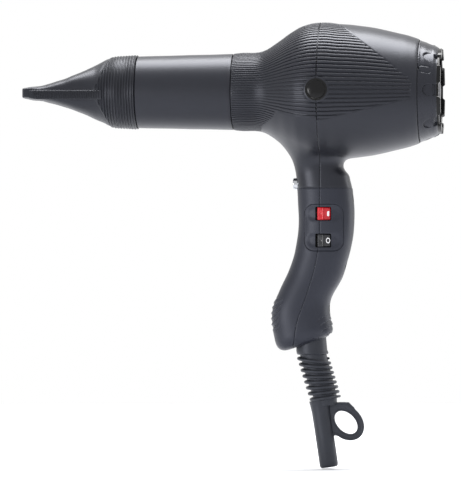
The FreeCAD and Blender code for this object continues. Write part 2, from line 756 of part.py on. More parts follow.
def cold_shot():
    """The round button at the grip's front, its spring and its micro switch."""
    body = part_body("cold_shot_button")
    front = "dims.button_front"
    turned(body, "button_cap", [
        (front, "0"), (front, "dims.button_radius - 1.2"), (f"{front} + 1.2", "dims.button_radius"),
        (f"{front} + 7", "dims.button_radius"), (f"{front} + 7", "dims.button_radius + 0.9"),
        (f"{front} + 8.2", "dims.button_radius + 0.9"), (f"{front} + 8.2", "1.2"), (f"{front} + 12.5", "1.2"),
        (f"{front} + 12.5", "0")])
    place(body, z="dims.button_height")
    node(body, "cold_shot_button")
    turns = []
    for number in range(4):
        ring = make("Part::Torus", f"button_spring_{number}", Radius1="2.2", Radius2="0.25")
        position = f"{front} + 8.75 + {number} * 1.9"
        turns.append(place(ring, position, "0", "dims.button_height", Rotation(Vector(0, 1, 0), 90)))
    node(group("cold_shot_spring", *turns), "cold_shot_spring")
    seat = block("cold_shot_switch_box", (f"{front} + 15", "7"), ("-5", "10"),
                 ("dims.button_height - 3.6", "7.2"))
    collar = rod("cold_shot_spring_post", "1.6", f"{front} + 14.9", "0.4", z="dims.button_height")
    node(fuse("cold_shot_switch", seat, collar), "cold_shot_switch")


# ---------------------------------------------------------------- wiring and strain relief

def strain_relief():
    """The boot at the grip's foot: a ribbed sleeve, a stub tube and a hanging loop."""
    body = part_body("boot")
    corners = [("0", "8"), ("0", "9.9"), ("1.4", "9.9"), ("1.4", "8.8"), ("8.6", "8.8"), ("8.6", "11.3")]
    along = 8.6
    ribs = 8
    for number in range(ribs):
        radius = 11.3 - 0.08 * number
        end = along + 2.4
        corners += [(f"{end:.1f}", f"{radius:.2f}"), (f"{end:.1f}", "8.6")]
        along = end + 1.4
        if number < ribs - 1:
            corners += [(f"{along:.1f}", "8.6"), (f"{along:.1f}", f"{radius - 0.08:.2f}")]
    corners += [("44", "8.6"), ("46", "6.4"), ("dims.boot_length - 1.2", "6.4"), ("dims.boot_length", "5.4"),
                ("dims.boot_length", "dims.cord_bore_radius"),
                ("dims.boot_length - dims.cord_bore_length", "dims.cord_bore_radius"),
                ("dims.boot_length - dims.cord_bore_length", "3"), ("2", "3"), ("2", "8")]
    turned(body, "boot_sleeve", corners)
    # the sleeve's own X axis runs down the boot
    place(body, "dims.boot_x", "0", "dims.boot_top", Rotation(Vector(0, 1, 0), 90 - dim("boot_tilt")))
    web_body = part_body("loop_web")
    padded(web_body, "loop_web_plate", "XZ_Plane", [
        ("3.5", "-109.3"), ("20.5", "-109.3"), ("26", "-114"), ("14", "-113"), ("9.5", "-117"),
        ("7.5", "-124"), ("5", "-124"),
    ], "dims.loop_thickness")
    band = loop_oval("loop_band", "dims.loop_band", "dims.loop_thickness")
    eye = loop_oval("loop_eye", "0", "3 * dims.loop_thickness")
    cord_space = make("Part::Cylinder", "cord_space", Radius="dims.cord_bore_radius", Height="60")
    place(cord_space, "dims.boot_x", "0", "dims.boot_top", Rotation(Vector(0, 1, 0), 180 - dim("boot_tilt")))
    cord_space.setExpression("Placement.Base.x", "dims.boot_x + 34 * sin(dims.boot_tilt)")
    cord_space.setExpression("Placement.Base.z", "dims.boot_top - 34 * cos(dims.boot_tilt)")
    loop = cut("loop", fuse("loop_blank", band, web_body), eye, cord_space)
    node(fuse("strain_relief", body, loop), "strain_relief")


def loop_oval(name, margin, thickness):
    """A thick oval around the loop's centre, with its long axis at 45 degrees."""
    oval = make("Part::Ellipse", f"{name}_oval", MajorRadius=f"dims.eye_long_radius + {margin}",
                MinorRadius=f"dims.eye_short_radius + {margin}")
    turn = Rotation(Vector(0, 1, 0), 45).multiply(Rotation(Vector(1, 0, 0), -90))
    place(oval, "dims.loop_x", f"-{thickness} / 2", "dims.loop_height", turn)
    plate = doc.addObject("Part::Extrusion", name)
    plate.Base = oval
    plate.Dir = Vector(0, 1, 0)
    plate.setExpression("LengthFwd", thickness)
    plate.Solid = True
    return plate


def wire_run(name, points, radius):
    """A wire of straight runs with round corners."""
    corners = [Vector(*point) for point in points]
    bend = 6.0
    edges = []
    start = corners[0]
    for before, corner, after in zip(corners, corners[1:], corners[2:]):
        inward = (before - corner).normalize()
        outward = (after - corner).normalize()
        reach = min(bend, (before - corner).Length / 2.2, (after - corner).Length / 2.2)
        first = corner + inward * reach
        last = corner + outward * reach
        half_turn = inward.getAngle(outward) / 2
        radius_of_bend = reach * math.tan(half_turn)
        centre = corner + (inward + outward).normalize() * (reach / math.cos(half_turn))
        middle = centre + (corner - centre).normalize() * radius_of_bend
        edges += [Part.makeLine(start, first), Part.Arc(first, middle, last).toShape()]
        start = last
    edges.append(Part.makeLine(start, corners[-1]))
    path = Part.Wire(edges)
    direction = corners[1] - corners[0]
    section = Part.Wire(Part.makeCircle(radius, corners[0], direction))
    item = doc.addObject("Part::Feature", name)
    item.Shape = path.makePipeShell([section], True, False)
    return item


def wiring():
    """Mains leads up to the switches, heater leads into the body, clamp and rectifier."""
    mains = []
    heater_wires = []
    for side in (-1, 1):
        near = side * 1.5
        wide = side * 4.9
        mains.append(wire_run(f"mains_lead_{side}", [
            (-6.8, near, -63.5), (-9.2, near, -54.5), (-8.6, wide, -48.0),
            (-8.0, wide, -36.0), (-9.6, wide, -20.0), (-10.0, wide, 2.0)], 1.1))
        outer = side * 6.0
        heater_wires.append(wire_run(f"heater_lead_{side}", [
            (12.0, outer, 8.0), (13.0, outer, 26.0), (4.0, outer, 48.0), (2.0, outer, 66.0)], 1.0))
    node(group("mains_leads", *mains), "mains_leads")
    node(group("heater_leads", *heater_wires), "heater_leads")
    node(block("rectifier_board", ("-12.5", "12"), ("-8", "16"), ("52", "1.4")), "rectifier_board")
    bar = block("clamp_bar", ("-15", "4"), ("-11", "22"), ("-59", "6"))
    drill = [rod(f"clamp_hole_{k}", "1.4", "-18", "12", y=y, z="-56") for k, y in enumerate(("-9", "9"))]
    node(cut("cable_clamp", bar, *drill), "cable_clamp")
    screws = []
    for k, y in enumerate(("-9", "9")):
        shank = rod(f"clamp_shank_{k}", "1.3", "-15", "10", y=y, z="-56")
        head = rod(f"clamp_head_{k}", "2.4", "-16.8", "1.8", y=y, z="-56")
        screws.append(fuse(f"clamp_screw_{k}", shank, head))
    node(group("clamp_screws", *screws), "clamp_screws")


# ---------------------------------------------------------------- output

def check():
    """Stop at anything that failed to build."""
    for item in doc.Objects:
        if any(word in item.State for word in ("Invalid", "Error")):
            raise RuntimeError(f"{item.Name} is {item.State}")
    for item in nodes:
        if item.Shape.isNull() or not item.Shape.isValid() or not item.Shape.Solids:
            raise RuntimeError(f"{item.Label} has no valid solid")


def main():
    fill_sheet()
    casing()
    handle_screws()
    badges()
    barrel()
    barrel_liner()
    outlet_guard()
    nozzle()
    filter_cap()
    filter_mesh()
    fan_duct()
    motor_housing()
    rotor()
    fan()
    heater()
    for name in ("heat", "speed"):
        switch_body(name)
        rocker(name)
    cold_shot()
    strain_relief()
    wiring()
    doc.recompute()
    check()
    os.makedirs("parts", exist_ok=True)
    for item in nodes:
        item.Shape.exportStep(f"parts/{item.Label}.step")
        box = item.Shape.BoundBox
        print(f"{item.Label}: {len(item.Shape.Solids)} solids, {item.Shape.Volume:.0f} mm3, "
              f"X {box.XMin:.1f} to {box.XMax:.1f}, Y {box.YMin:.1f} to {box.YMax:.1f}, "
              f"Z {box.ZMin:.1f} to {box.ZMax:.1f}")


main()
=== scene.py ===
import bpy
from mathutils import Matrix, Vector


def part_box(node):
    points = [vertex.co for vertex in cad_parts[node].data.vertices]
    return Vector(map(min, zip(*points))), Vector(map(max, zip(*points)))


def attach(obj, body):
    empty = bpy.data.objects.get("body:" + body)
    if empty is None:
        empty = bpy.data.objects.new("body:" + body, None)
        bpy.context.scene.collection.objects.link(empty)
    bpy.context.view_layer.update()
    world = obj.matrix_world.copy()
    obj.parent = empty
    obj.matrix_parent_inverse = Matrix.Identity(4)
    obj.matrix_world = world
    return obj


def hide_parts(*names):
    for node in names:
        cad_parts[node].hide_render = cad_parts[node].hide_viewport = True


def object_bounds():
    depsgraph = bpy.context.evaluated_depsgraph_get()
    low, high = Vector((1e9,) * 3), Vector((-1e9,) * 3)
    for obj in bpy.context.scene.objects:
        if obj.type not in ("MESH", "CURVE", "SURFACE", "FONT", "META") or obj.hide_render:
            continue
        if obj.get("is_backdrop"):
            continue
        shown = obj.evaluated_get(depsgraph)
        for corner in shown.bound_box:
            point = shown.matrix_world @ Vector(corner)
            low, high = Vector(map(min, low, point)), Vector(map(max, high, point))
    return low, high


bl_info = {
    "name": "Hair dryer looks",
    "version": (1, 0, 0),
    "blender": (4, 5, 0),
    "location": "View3D > Sidebar > Hair dryer",
    "description": "The visible pieces and finishes of a professional hair dryer, built round its CAD frame",
    "category": "Object",
}

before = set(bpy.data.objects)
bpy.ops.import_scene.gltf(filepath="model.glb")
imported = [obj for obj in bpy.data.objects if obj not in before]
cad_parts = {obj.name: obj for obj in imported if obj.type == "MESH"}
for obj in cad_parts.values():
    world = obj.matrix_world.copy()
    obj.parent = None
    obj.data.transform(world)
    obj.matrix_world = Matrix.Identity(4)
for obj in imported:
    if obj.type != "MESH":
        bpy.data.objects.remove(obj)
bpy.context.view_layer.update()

import math

import bmesh
import bpy
import numpy as np
from mathutils import Matrix, Vector

# Shapes are worked out in millimetres with x along the air axis, y across and z up from the air axis.
# AXIS is that axis's height in the frame, in metres.
AXIS = (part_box("barrel")[0].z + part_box("barrel")[1].z) / 2

# ---------------------------------------------------------------- outlines

# The round body's radius along x
BODY_OUTLINE = [
    (-62.5, 26.3), (-60.5, 26.4), (-56.3, 26.9), (-49.4, 27.0), (-43.9, 27.2), (-41.1, 27.8), (-38.3, 28.8),
    (-35.6, 30.3), (-31.4, 33.2), (-27.3, 36.0), (-23.1, 39.2), (-19.0, 41.8), (-14.8, 44.3), (-10.7, 45.8),
    (-6.5, 47.0), (-2.4, 47.5), (1.7, 47.6), (5.9, 47.5), (10.0, 46.9), (14.1, 46.4), (18.2, 46.15),
    (26.5, 45.2), (34.7, 44.1), (38.9, 43.3), (55.3, 39.5), (59.4, 38.5), (63.5, 37.2), (66.3, 36.2),
    (67.6, 35.6), (69.6, 34.6),
]
BODY_FRONT = -60.5
BODY_REAR = 67.6
# The handle's own front and rear edges and half width, down z
HANDLE_FRONT = [
    (-10.0, -25.0), (-20.0, -23.0), (-30.0, -21.0), (-40.0, -19.3), (-43.7, -18.9), (-47.0, -18.6), (-54.0, -18.0),
    (-60.8, -17.2), (-71.1, -16.2), (-78.0, -15.9), (-84.9, -15.5), (-91.8, -15.5), (-98.7, -16.1),
    (-105.6, -17.2), (-112.4, -18.6), (-119.3, -20.8), (-126.2, -23.6), (-133.1, -27.0), (-140.0, -30.1),
    (-146.9, -33.2), (-153.8, -34.4), (-160.7, -34.0), (-167.6, -32.7), (-178.0, -30.5),
]
HANDLE_REAR = [
    (-10.0, 13.0), (-30.0, 13.6), (-47.1, 14.4), (-50.5, 14.7), (-54.0, 16.0), (-57.4, 18.6), (-60.8, 19.6),
    (-64.3, 20.5), (-71.1, 21.3), (-78.0, 22.0), (-84.9, 22.2), (-91.8, 22.0), (-98.7, 21.4), (-105.6, 20.2),
    (-112.4, 18.6), (-119.3, 16.6), (-126.2, 14.6), (-133.1, 11.2), (-140.0, 7.2), (-146.9, 5.2),
    (-153.8, 5.6), (-160.7, 7.5), (-164.1, 8.5), (-167.6, 9.0), (-178.0, 9.6),
]
HANDLE_HALF_WIDTH = [
    (-10.0, 15.5), (-40.0, 15.2), (-60.0, 16.0), (-80.0, 16.6), (-100.0, 16.6), (-120.0, 16.0), (-140.0, 15.8),
    (-160.0, 16.2), (-178.0, 16.4),
]
# Where the front and rear halves meet, down z
SEAM = [
    (60.0, 0.0), (0.0, 0.0), (-60.0, 0.0), (-90.0, 0.0), (-98.0, 0.0), (-107.6, -1.1), (-120.7, -3.5),
    (-133.1, -7.1), (-146.2, -11.5), (-155.9, -15.0), (-166.6, -17.2), (-180.0, -19.2),
]
GRIP_SEAM = -66.5
GRIP_HALF_GAP = 0.02
SEAM_HALF_GAP = 0.14
SHELL_WALL = 2.2
# The lower handle stands this much proud of the neck, and its sections are ellipses of this power
HANDLE_PROUD = 0.35
HANDLE_POWER = 2.4


def spline(points):
    """A smooth curve through the points, as a function that is held level past its ends."""
    xs, ys = np.array(sorted(points), float).T
    h = np.diff(xs)
    count = len(xs)
    system, right = np.eye(count), np.zeros(count)
    for k in range(1, count - 1):
        system[k, k - 1 : k + 2] = h[k - 1], 2 * (h[k - 1] + h[k]), h[k]
        right[k] = 6 * ((ys[k + 1] - ys[k]) / h[k] - (ys[k] - ys[k - 1]) / h[k - 1])
    bend = np.linalg.solve(system, right)

    def value(x):
        x = np.clip(x, xs[0], xs[-1])
        k = np.clip(np.searchsorted(xs, x) - 1, 0, count - 2)
        a = (xs[k + 1] - x) / h[k]
        b = 1 - a
        return a * ys[k] + b * ys[k + 1] + ((a**3 - a) * bend[k] + (b**3 - b) * bend[k + 1]) * h[k] ** 2 / 6

    return value


body_radius = spline(BODY_OUTLINE)
handle_front = spline(HANDLE_FRONT)
handle_rear = spline(HANDLE_REAR)
handle_half_width = spline(HANDLE_HALF_WIDTH)
seam_x = spline(SEAM)


def turns(count):
    """Angles evenly spaced round a full turn."""
    return np.linspace(0, 2 * math.pi, count, endpoint=False)


def ease(low, high, value):
    """0 below low, 1 above high, smooth between."""
    t = np.clip((value - low) / (high - low), 0, 1)
    return t * t * (3 - 2 * t)


def smooth_min(a, b, blend):
    """The lower of two distances, rounded where they meet."""
    h = np.clip(0.5 + 0.5 * (b - a) / blend, 0, 1)
    return b * (1 - h) + a * h - blend * h * (1 - h)


def smooth_max(a, b, blend):
    """The higher of two distances, rounded where they meet."""
    return -smooth_min(-a, -b, blend)


def rounded_box(u, v, half_u, half_v, corner):
    """Distance from a rounded rectangle's edge, below 0 inside it."""
    du, dv = np.abs(u) - (half_u - corner), np.abs(v) - (half_v - corner)
    return np.hypot(np.maximum(du, 0), np.maximum(dv, 0)) + np.minimum(np.maximum(du, dv), 0) - corner


# ---------------------------------------------------------------- meshes

# How far to each side of a point a field is read for its gradient
SLOPE_REACH = 0.05
# Smoothing rounds of a surface net move each point this share of the way to its neighbours' middle
NET_RELAX = 0.6


def make_piece(name, points, faces, *materials, smooth=35.0, parts=None):
    """A mesh object from points in millimetres; edges sharper than smooth degrees stay sharp."""
    mesh = bpy.data.meshes.new(name)
    places = np.asarray(points, float) / 1000 + [0, 0, AXIS]
    mesh.from_pydata(places.tolist(), [], [[int(i) for i in face] for face in faces])
    made = bpy.data.objects.new(name, mesh)
    bpy.context.scene.collection.objects.link(made)
    for material in materials:
        mesh.materials.append(material)
    if parts is not None:
        mesh.polygons.foreach_set("material_index", np.asarray(parts, np.int32))
    finish_mesh(made, smooth)
    return made


def finish_mesh(made, smooth=35.0):
    """Smooth shading with sharp edges kept."""
    mesh = made.data
    mesh.polygons.foreach_set("use_smooth", [True] * len(mesh.polygons))
    mesh.set_sharp_from_angle(angle=math.radians(smooth))
    mesh.update()


def applied(made, smooth=35.0):
    """The object's modifiers turned into a plain mesh."""
    bpy.context.view_layer.update()
    graph = bpy.context.evaluated_depsgraph_get()
    mesh = bpy.data.meshes.new_from_object(made.evaluated_get(graph))
    made.modifiers.clear()
    old = made.data
    made.data = mesh
    mesh.name = made.name
    if old.users == 0:
        bpy.data.meshes.remove(old)
    finish_mesh(made, smooth)
    return made


def carve(made, cutters):
    """Cuts the cutters out of the piece and removes them."""
    for cutter in cutters:
        modifier = made.modifiers.new("carve", "BOOLEAN")
        modifier.operation = "DIFFERENCE"
        modifier.solver = "MANIFOLD"
        modifier.object = cutter
    applied(made)
    for cutter in cutters:
        bpy.data.objects.remove(cutter)
    return made


def join_pieces(made, others):
    """Joins other objects' meshes into one object, keeping their materials."""
    net = bmesh.new()
    materials = []
    for item in [made, *others]:
        slots = []
        for material in item.data.materials:
            if material not in materials:
                materials.append(material)
            slots.append(materials.index(material))
        first = len(net.faces)
        net.from_mesh(item.data)
        net.faces.ensure_lookup_table()
        for face in net.faces[first:]:
            face.material_index = slots[face.material_index] if slots else 0
    made.data.materials.clear()
    for material in materials:
        made.data.materials.append(material)
    net.to_mesh(made.data)
    net.free()
    for item in others:
        bpy.data.objects.remove(item)
    return made


def grid_faces(rows, columns, close_rows):
    """Faces between the closed loops of a net: rows loops of columns points each."""
    faces = []
    for i in range(rows if close_rows else rows - 1):
        for j in range(columns):
            i1, j1 = (i + 1) % rows, (j + 1) % columns
            faces.append((i * columns + j, i * columns + j1, i1 * columns + j1, i1 * columns + j))
    return faces


def facing_out(points, faces):
    """The faces, turned round if the closed mesh's volume comes out negative."""
    p = np.asarray(points, float)
    volume = 0.0
    for face in faces:
        for k in range(1, len(face) - 1):
            volume += np.dot(p[face[0]], np.cross(p[face[k]], p[face[k + 1]]))
    return faces if volume > 0 else [tuple(reversed(face)) for face in faces]


def tube_mesh(loops, close=False):
    """Points and faces of a closed skin over a run of loops, capped at its ends unless it closes on itself."""
    loops = np.asarray(loops, float)
    rows, columns = loops.shape[:2]
    faces = grid_faces(rows, columns, close)
    if not close:
        faces += [tuple(reversed(range(columns))), tuple(range((rows - 1) * columns, rows * columns))]
    points = loops.reshape(-1, 3)
    return points, facing_out(points, faces)


def lathe_loops(outline, segments):
    """Loops for an outline of (x, radius) pairs turned about the air axis."""
    return [[(x, r * math.cos(a), r * math.sin(a)) for a in turns(segments)] for x, r in outline]


def circle(radius, middle_v, count):
    """The outline of a circle at a height."""
    return [(radius * math.cos(a), radius * math.sin(a) + middle_v) for a in turns(count)]


def prism(name, corners, start, end, axis="y"):
    """A straight cutter with the given outline, from start to end along x or y."""
    loops = [[(w, u, v) if axis == "x" else (u, w, v) for u, v in corners] for w in (start, end)]
    return make_piece(name, *tube_mesh(loops))


def rounded_corners(half_u, half_v, corner, middle, steps):
    """The outline of a rounded rectangle."""
    points = []
    for turn, (su, sv) in enumerate([(1, 1), (-1, 1), (-1, -1), (1, -1)]):
        for k in range(steps + 1):
            a = math.pi / 2 * (turn + k / steps)
            points.append((
                middle[0] + su * (half_u - corner) + corner * math.cos(a),
                middle[1] + sv * (half_v - corner) + corner * math.sin(a),
            ))
    return points


def slope(field, points):
    """The field's gradient at the points."""
    result = np.empty_like(points)
    for k in range(3):
        step = np.zeros(3)
        step[k] = SLOPE_REACH
        result[:, k] = (field(*(points + step).T) - field(*(points - step).T)) / (2 * SLOPE_REACH)
    return result


def settle(field, points, steps):
    """Moves the points onto the field's surface."""
    for _ in range(steps):
        gradient = slope(field, points)
        length = np.maximum((gradient**2).sum(1), 0.05)
        points = points - gradient * np.clip(field(*points.T) / length, -2, 2)[:, None]
    return points


def surface_net(field, low, high, step, rounds=3):
    """An even quad net over the surface where the field is 0. It is open where the surface leaves the box."""
    low, high = np.asarray(low, float), np.asarray(high, float)
    counts = np.ceil((high - low) / step).astype(int) + 1
    axes = [low[k] + step * np.arange(counts[k]) for k in range(3)]
    values = np.empty(counts)
    for i, x in enumerate(axes[0]):
        y, z = np.meshgrid(axes[1], axes[2], indexing="ij")
        values[i] = field(np.full_like(y, x), y, z)
    inside = values < 0
    filled = np.zeros(counts - 1, int)
    for i in (0, 1):
        for j in (0, 1):
            for k in (0, 1):
                filled += inside[i : counts[0] - 1 + i, j : counts[1] - 1 + j, k : counts[2] - 1 + k]
    crossing = (filled > 0) & (filled < 8)
    number = np.full(counts - 1, -1)
    number[crossing] = np.arange(crossing.sum())
    points = low + step * (np.argwhere(crossing) + 0.5)
    quads = []
    for a in range(3):
        b, c = (a + 1) % 3, (a + 2) % 3
        first, last = inside.take(range(counts[a] - 1), a), inside.take(range(1, counts[a]), a)
        spots = np.argwhere(first != last)
        keep = (
            (spots[:, b] > 0) & (spots[:, b] < counts[b] - 1) & (spots[:, c] > 0) & (spots[:, c] < counts[c] - 1)
        )
        spots = spots[keep]
        unit = np.eye(3, dtype=int)
        corners = [spots - unit[b] - unit[c], spots - unit[c], spots, spots - unit[b]]
        quad = np.stack([number[tuple(corner.T)] for corner in corners], 1)
        outward = first[tuple(spots.T)]
        quads.append(np.where(outward[:, None], quad, quad[:, ::-1]))
    quads = np.concatenate(quads)
    quads = quads[(quads >= 0).all(1)]
    points = settle(field, points, 3)
    for _ in range(rounds):
        total, weight = np.zeros_like(points), np.zeros(len(points))
        for k in range(4):
            ends = quads[:, k], quads[:, (k + 1) % 4]
            for here, there in (ends, ends[::-1]):
                np.add.at(total, here, points[there])
                np.add.at(weight, here, 1)
        used = weight > 0
        points[used] = (1 - NET_RELAX) * points[used] + NET_RELAX * total[used] / weight[used, None]
        points = settle(field, points, 2)
    used = np.zeros(len(points), bool)
    used[quads.ravel()] = True
    renumber = np.cumsum(used) - 1
    return points[used], renumber[quads]


def clip_net(net, at, normal, roll, near=0.28):
    """Cuts away what lies on the normal's side of a plane. Points nearer to it than near are first moved onto it,
    and the new rim is rolled inward by roll."""
    at, normal = Vector(at), Vector(normal).normalized()
    for vertex in net.verts:
        distance = (vertex.co - at).dot(normal)
        if abs(distance) < near:
            vertex.co -= distance * normal
    bmesh.ops.bisect_plane(
        net, geom=[*net.verts, *net.edges, *net.faces], dist=1e-4, plane_co=at, plane_no=normal, clear_outer=True
    )
    net.normal_update()
    for vertex in net.verts:
        if abs((vertex.co - at).dot(normal)) < 1e-3:
            outward = vertex.normal - vertex.normal.dot(normal) * normal
            vertex.co -= roll * outward.normalized()


def net_of(points, faces):
    """A bmesh in millimetres."""
    net = bmesh.new()
    verts = [net.verts.new(p) for p in points]
    for face in faces:
        net.faces.new([verts[i] for i in face])
    net.normal_update()
    return net


def shell_piece(name, net, wall, material):
    """Gives an open net a wall on its inner side."""
    net.verts.index_update()
    points = [tuple(v.co) for v in net.verts]
    faces = [[v.index for v in f.verts] for f in net.faces]
    net.free()
    made = make_piece(name, points, faces, material)
    wall_modifier = made.modifiers.new("wall", "SOLIDIFY")
    wall_modifier.thickness = wall / 1000
    wall_modifier.offset = -1
    wall_modifier.use_even_offset = False
    return applied(made)


# ---------------------------------------------------------------- materials


def linear(text):
    """A linear colour from an sRGB hex value."""
    parts = [int(text[k : k + 2], 16) / 255 for k in (1, 3, 5)]
    return [*((c / 12.92 if c <= 0.04045 else ((c + 0.055) / 1.055) ** 2.4) for c in parts), 1.0]


def add(tree, kind, settings=None, links=None):
    """A node with its settings; each link names an input and the output that feeds it."""
    made = tree.nodes.new(kind)
    for key, value in (settings or {}).items():
        if isinstance(key, int) or key in made.inputs:
            made.inputs[key].default_value = value
        else:
            setattr(made, key, value)
    for key, source in (links or {}).items():
        tree.links.new(source, made.inputs[key])
    return made


def finish(
    name, colour, roughness, grain=0.35, depth=0.01, patch=9.0, shade=0.12, spread=0.06, stretch=(1, 1, 1), **shader
):
    """A finish with a surface grain of grain mm and depth mm, and broad patches of patch mm where the colour
    changes by shade and the roughness by spread. shader holds the shader's own constant sockets."""
    material = bpy.data.materials.new(name)
    material.use_nodes = True
    tree = material.node_tree
    tree.nodes.clear()
    base = linear(colour)
    place = add(tree, "ShaderNodeTexCoord").outputs["Object"]
    turned = add(tree, "ShaderNodeMapping", {"Scale": stretch}, {"Vector": place}).outputs["Vector"]
    fine = add(
        tree, "ShaderNodeTexNoise", {"Scale": 1000 / grain, "Detail": 3.0, "Roughness": 0.6}, {"Vector": turned}
    ).outputs["Fac"]
    broad = add(
        tree, "ShaderNodeTexNoise", {"Scale": 1000 / patch, "Detail": 2.0, "Roughness": 0.5}, {"Vector": place}
    ).outputs["Fac"]
    ramp = add(tree, "ShaderNodeValToRGB", {}, {"Fac": broad})
    ramp.color_ramp.elements[0].position, ramp.color_ramp.elements[1].position = 0.3, 0.7
    for element, factor in zip(ramp.color_ramp.elements, (1 - shade, 1 + shade)):
        element.color = [min(1.0, c * factor) for c in base[:3]] + [1.0]
    gloss = add(
        tree,
        "ShaderNodeMapRange",
        {"From Min": 0.3, "From Max": 0.7, "To Min": roughness - spread, "To Max": roughness + spread},
        {"Value": fine},
    ).outputs["Result"]
    bump = add(tree, "ShaderNodeBump", {"Strength": 1.0, "Distance": depth / 1000}, {"Height": fine})
    shader_node = add(
        tree,
        "ShaderNodeBsdfPrincipled",
        shader,
        {"Base Color": ramp.outputs["Color"], "Roughness": gloss, "Normal": bump.outputs["Normal"]},
    )
    add(tree, "ShaderNodeOutputMaterial", {}, {"Surface": shader_node.outputs["BSDF"]})
    return material


FINISHES = {}


def make_finishes(sizes):
    """Every finish on the dryer, by the name of its slot."""
    resin = {"IOR": 1.5}
    # The dark mouldings reflect a cool grey
    dark = {"IOR": 1.45, "Specular Tint": linear("#e4e7f4")}
    made = {
        # Moulded ABS from a spark-eroded tool: an even satin grain with soft, wide highlights
        "casing": finish("abs_satin_charcoal", sizes.casing_colour, 0.36, 0.3, 0.006, 14.0, 0.05, 0.03, **dark),
        # Soft-touch lacquer over ABS on the grip: a little duller and bluer than the body
        "grip": finish("soft_touch_lacquer_charcoal", sizes.grip_colour, 0.44, 0.26, 0.008, 12.0, 0.06, 0.04, **dark),
        # Glass-filled polyamide of the barrel and nozzle: satin, with a slightly coarser grain
        "barrel": finish("polyamide_satin_charcoal", sizes.casing_colour, 0.38, 0.34, 0.008, 10.0, 0.06, 0.04, **dark),
        "nozzle": finish("polyamide_matt_charcoal", sizes.nozzle_colour, 0.42, 0.34, 0.01, 8.0, 0.07, 0.05, **dark),
        # Polished ABS of the filter cap: crisper highlights than the body
        "cap": finish("abs_polished_charcoal", sizes.casing_colour, 0.27, 0.3, 0.003, 12.0, 0.05, 0.03, **dark),
        # Woven stainless wire behind the grille: bright and finely scratched
        "steel_mesh": finish("stainless_wire_mesh", "#8f9296", 0.34, 0.12, 0.004, 3.0, 0.12, 0.08, Metallic=1.0),
        # Gloss black ABS badge under a clear lacquer
        "badge": finish("abs_gloss_black", "#060607", 0.16, 0.5, 0.001, 6.0, 0.2, 0.02, IOR=1.33),
        # Heat-resistant PPS of the outlet guard: dull, near black
        "heat_resin": finish("pps_heat_resin_black", "#17181a", 0.55, 0.4, 0.012, 6.0, 0.12, 0.05, **resin),
        # Split mica boards: pearly silver-brown with flakes
        "mica": finish("mica_board", "#b7a98a", 0.35, 1.6, 0.01, 4.0, 0.25, 0.12, stretch=(1, 1, 3), Metallic=0.25),
        # Nickel-chrome wire, browned by heat
        "heating_wire": finish("nichrome_wire", "#8a7f76", 0.42, 0.15, 0.004, 2.5, 0.25, 0.1, Metallic=1.0),
        # Zinc-plated screws: pale and slightly cloudy
        "steel_small": finish("zinc_plated_steel", "#b9bbbd", 0.3, 0.2, 0.003, 1.5, 0.12, 0.08, Metallic=1.0),
        # Pressed aluminium: bright with drawing marks
        "aluminium_small": finish(
            "pressed_aluminium", "#c9cbce", 0.32, 0.2, 0.003, 2.0, 0.1, 0.08, stretch=(0.2, 1, 1), Metallic=1.0
        ),
        # Unpainted inner mouldings: pale polypropylene
        "inner_resin": finish("polypropylene_natural", "#cfcdc6", 0.5, 0.5, 0.008, 9.0, 0.06, 0.05, **resin),
        # Glass-filled fan: grey with fibre specks
        "fan_resin": finish("glass_filled_polyamide_grey", "#5a5d61", 0.46, 0.3, 0.012, 3.0, 0.12, 0.06, **resin),
        # Deep-drawn zinc-plated motor can
        "zinc_steel": finish("zinc_plated_can", "#a7aaad", 0.33, 0.25, 0.003, 5.0, 0.1, 0.07, Metallic=1.0),
        # Sintered bronze bearing, porous and oily
        "bronze": finish("sintered_bronze", "#8c6a3f", 0.4, 0.12, 0.006, 1.5, 0.15, 0.08, Metallic=1.0),
        # Sintered ferrite: dull dark grey
        "magnet": finish("sintered_ferrite", "#2b2c2e", 0.6, 0.2, 0.01, 4.0, 0.15, 0.06, **resin),
        # Pressed carbon brush: sooty with a metallic glint
        "carbon": finish("carbon_brush", "#1c1c1e", 0.48, 0.15, 0.008, 1.5, 0.2, 0.08, Metallic=0.3),
        # Stacked steel laminations, fine lines across the stack
        "laminated_steel": finish(
            "laminated_steel", "#7d7f82", 0.38, 0.5, 0.02, 5.0, 0.12, 0.08, stretch=(1, 0.05, 0.05), Metallic=1.0
        ),
        # Bare copper of the commutator and windings
        "copper": finish("drawn_copper", "#b87346", 0.3, 0.2, 0.004, 2.0, 0.14, 0.08, Metallic=1.0),
        # Red and black polycarbonate rocker keys, gloss moulded
        "rocker_red": finish("polycarbonate_red", sizes.heat_key_colour, 0.3, 0.3, 0.003, 3.0, 0.08, 0.04, **resin),
        "rocker_black": finish("polycarbonate_black", "#1d1e22", 0.28, 0.3, 0.003, 3.0, 0.1, 0.04, **resin),
        # Black thermoset switch bodies
        "switch_resin": finish("thermoset_black", "#141416", 0.4, 0.4, 0.008, 4.0, 0.15, 0.05, **resin),
        # Chromed button: mirror bright over moulded ABS
        "chromed_button": finish("chrome_plated_abs", "#b4b6ba", 0.1, 0.6, 0.001, 4.0, 0.03, 0.02, Metallic=1.0),
        # Soft PVC of the strain relief: satin with a faint bloom
        "boot": finish("soft_pvc_charcoal", sizes.boot_colour, 0.45, 0.4, 0.008, 6.0, 0.08, 0.05, **dark),
        # Silicone lead insulation
        "wire_insulation": finish("silicone_insulation", "#8d8f93", 0.5, 0.4, 0.006, 4.0, 0.1, 0.05, **resin),
        # Green solder mask over glass fibre
        "circuit_board": finish("solder_mask_green", "#1e5a34", 0.35, 0.5, 0.01, 3.0, 0.15, 0.06, **resin),
        # Tampon-printed switch marks: thick white ink
        "print": finish("white_tampon_ink", "#e6e6e8", 0.5, 0.25, 0.004, 1.0, 0.05, 0.05, **resin),
    }
    FINISHES.update(made)


# ---------------------------------------------------------------- casing

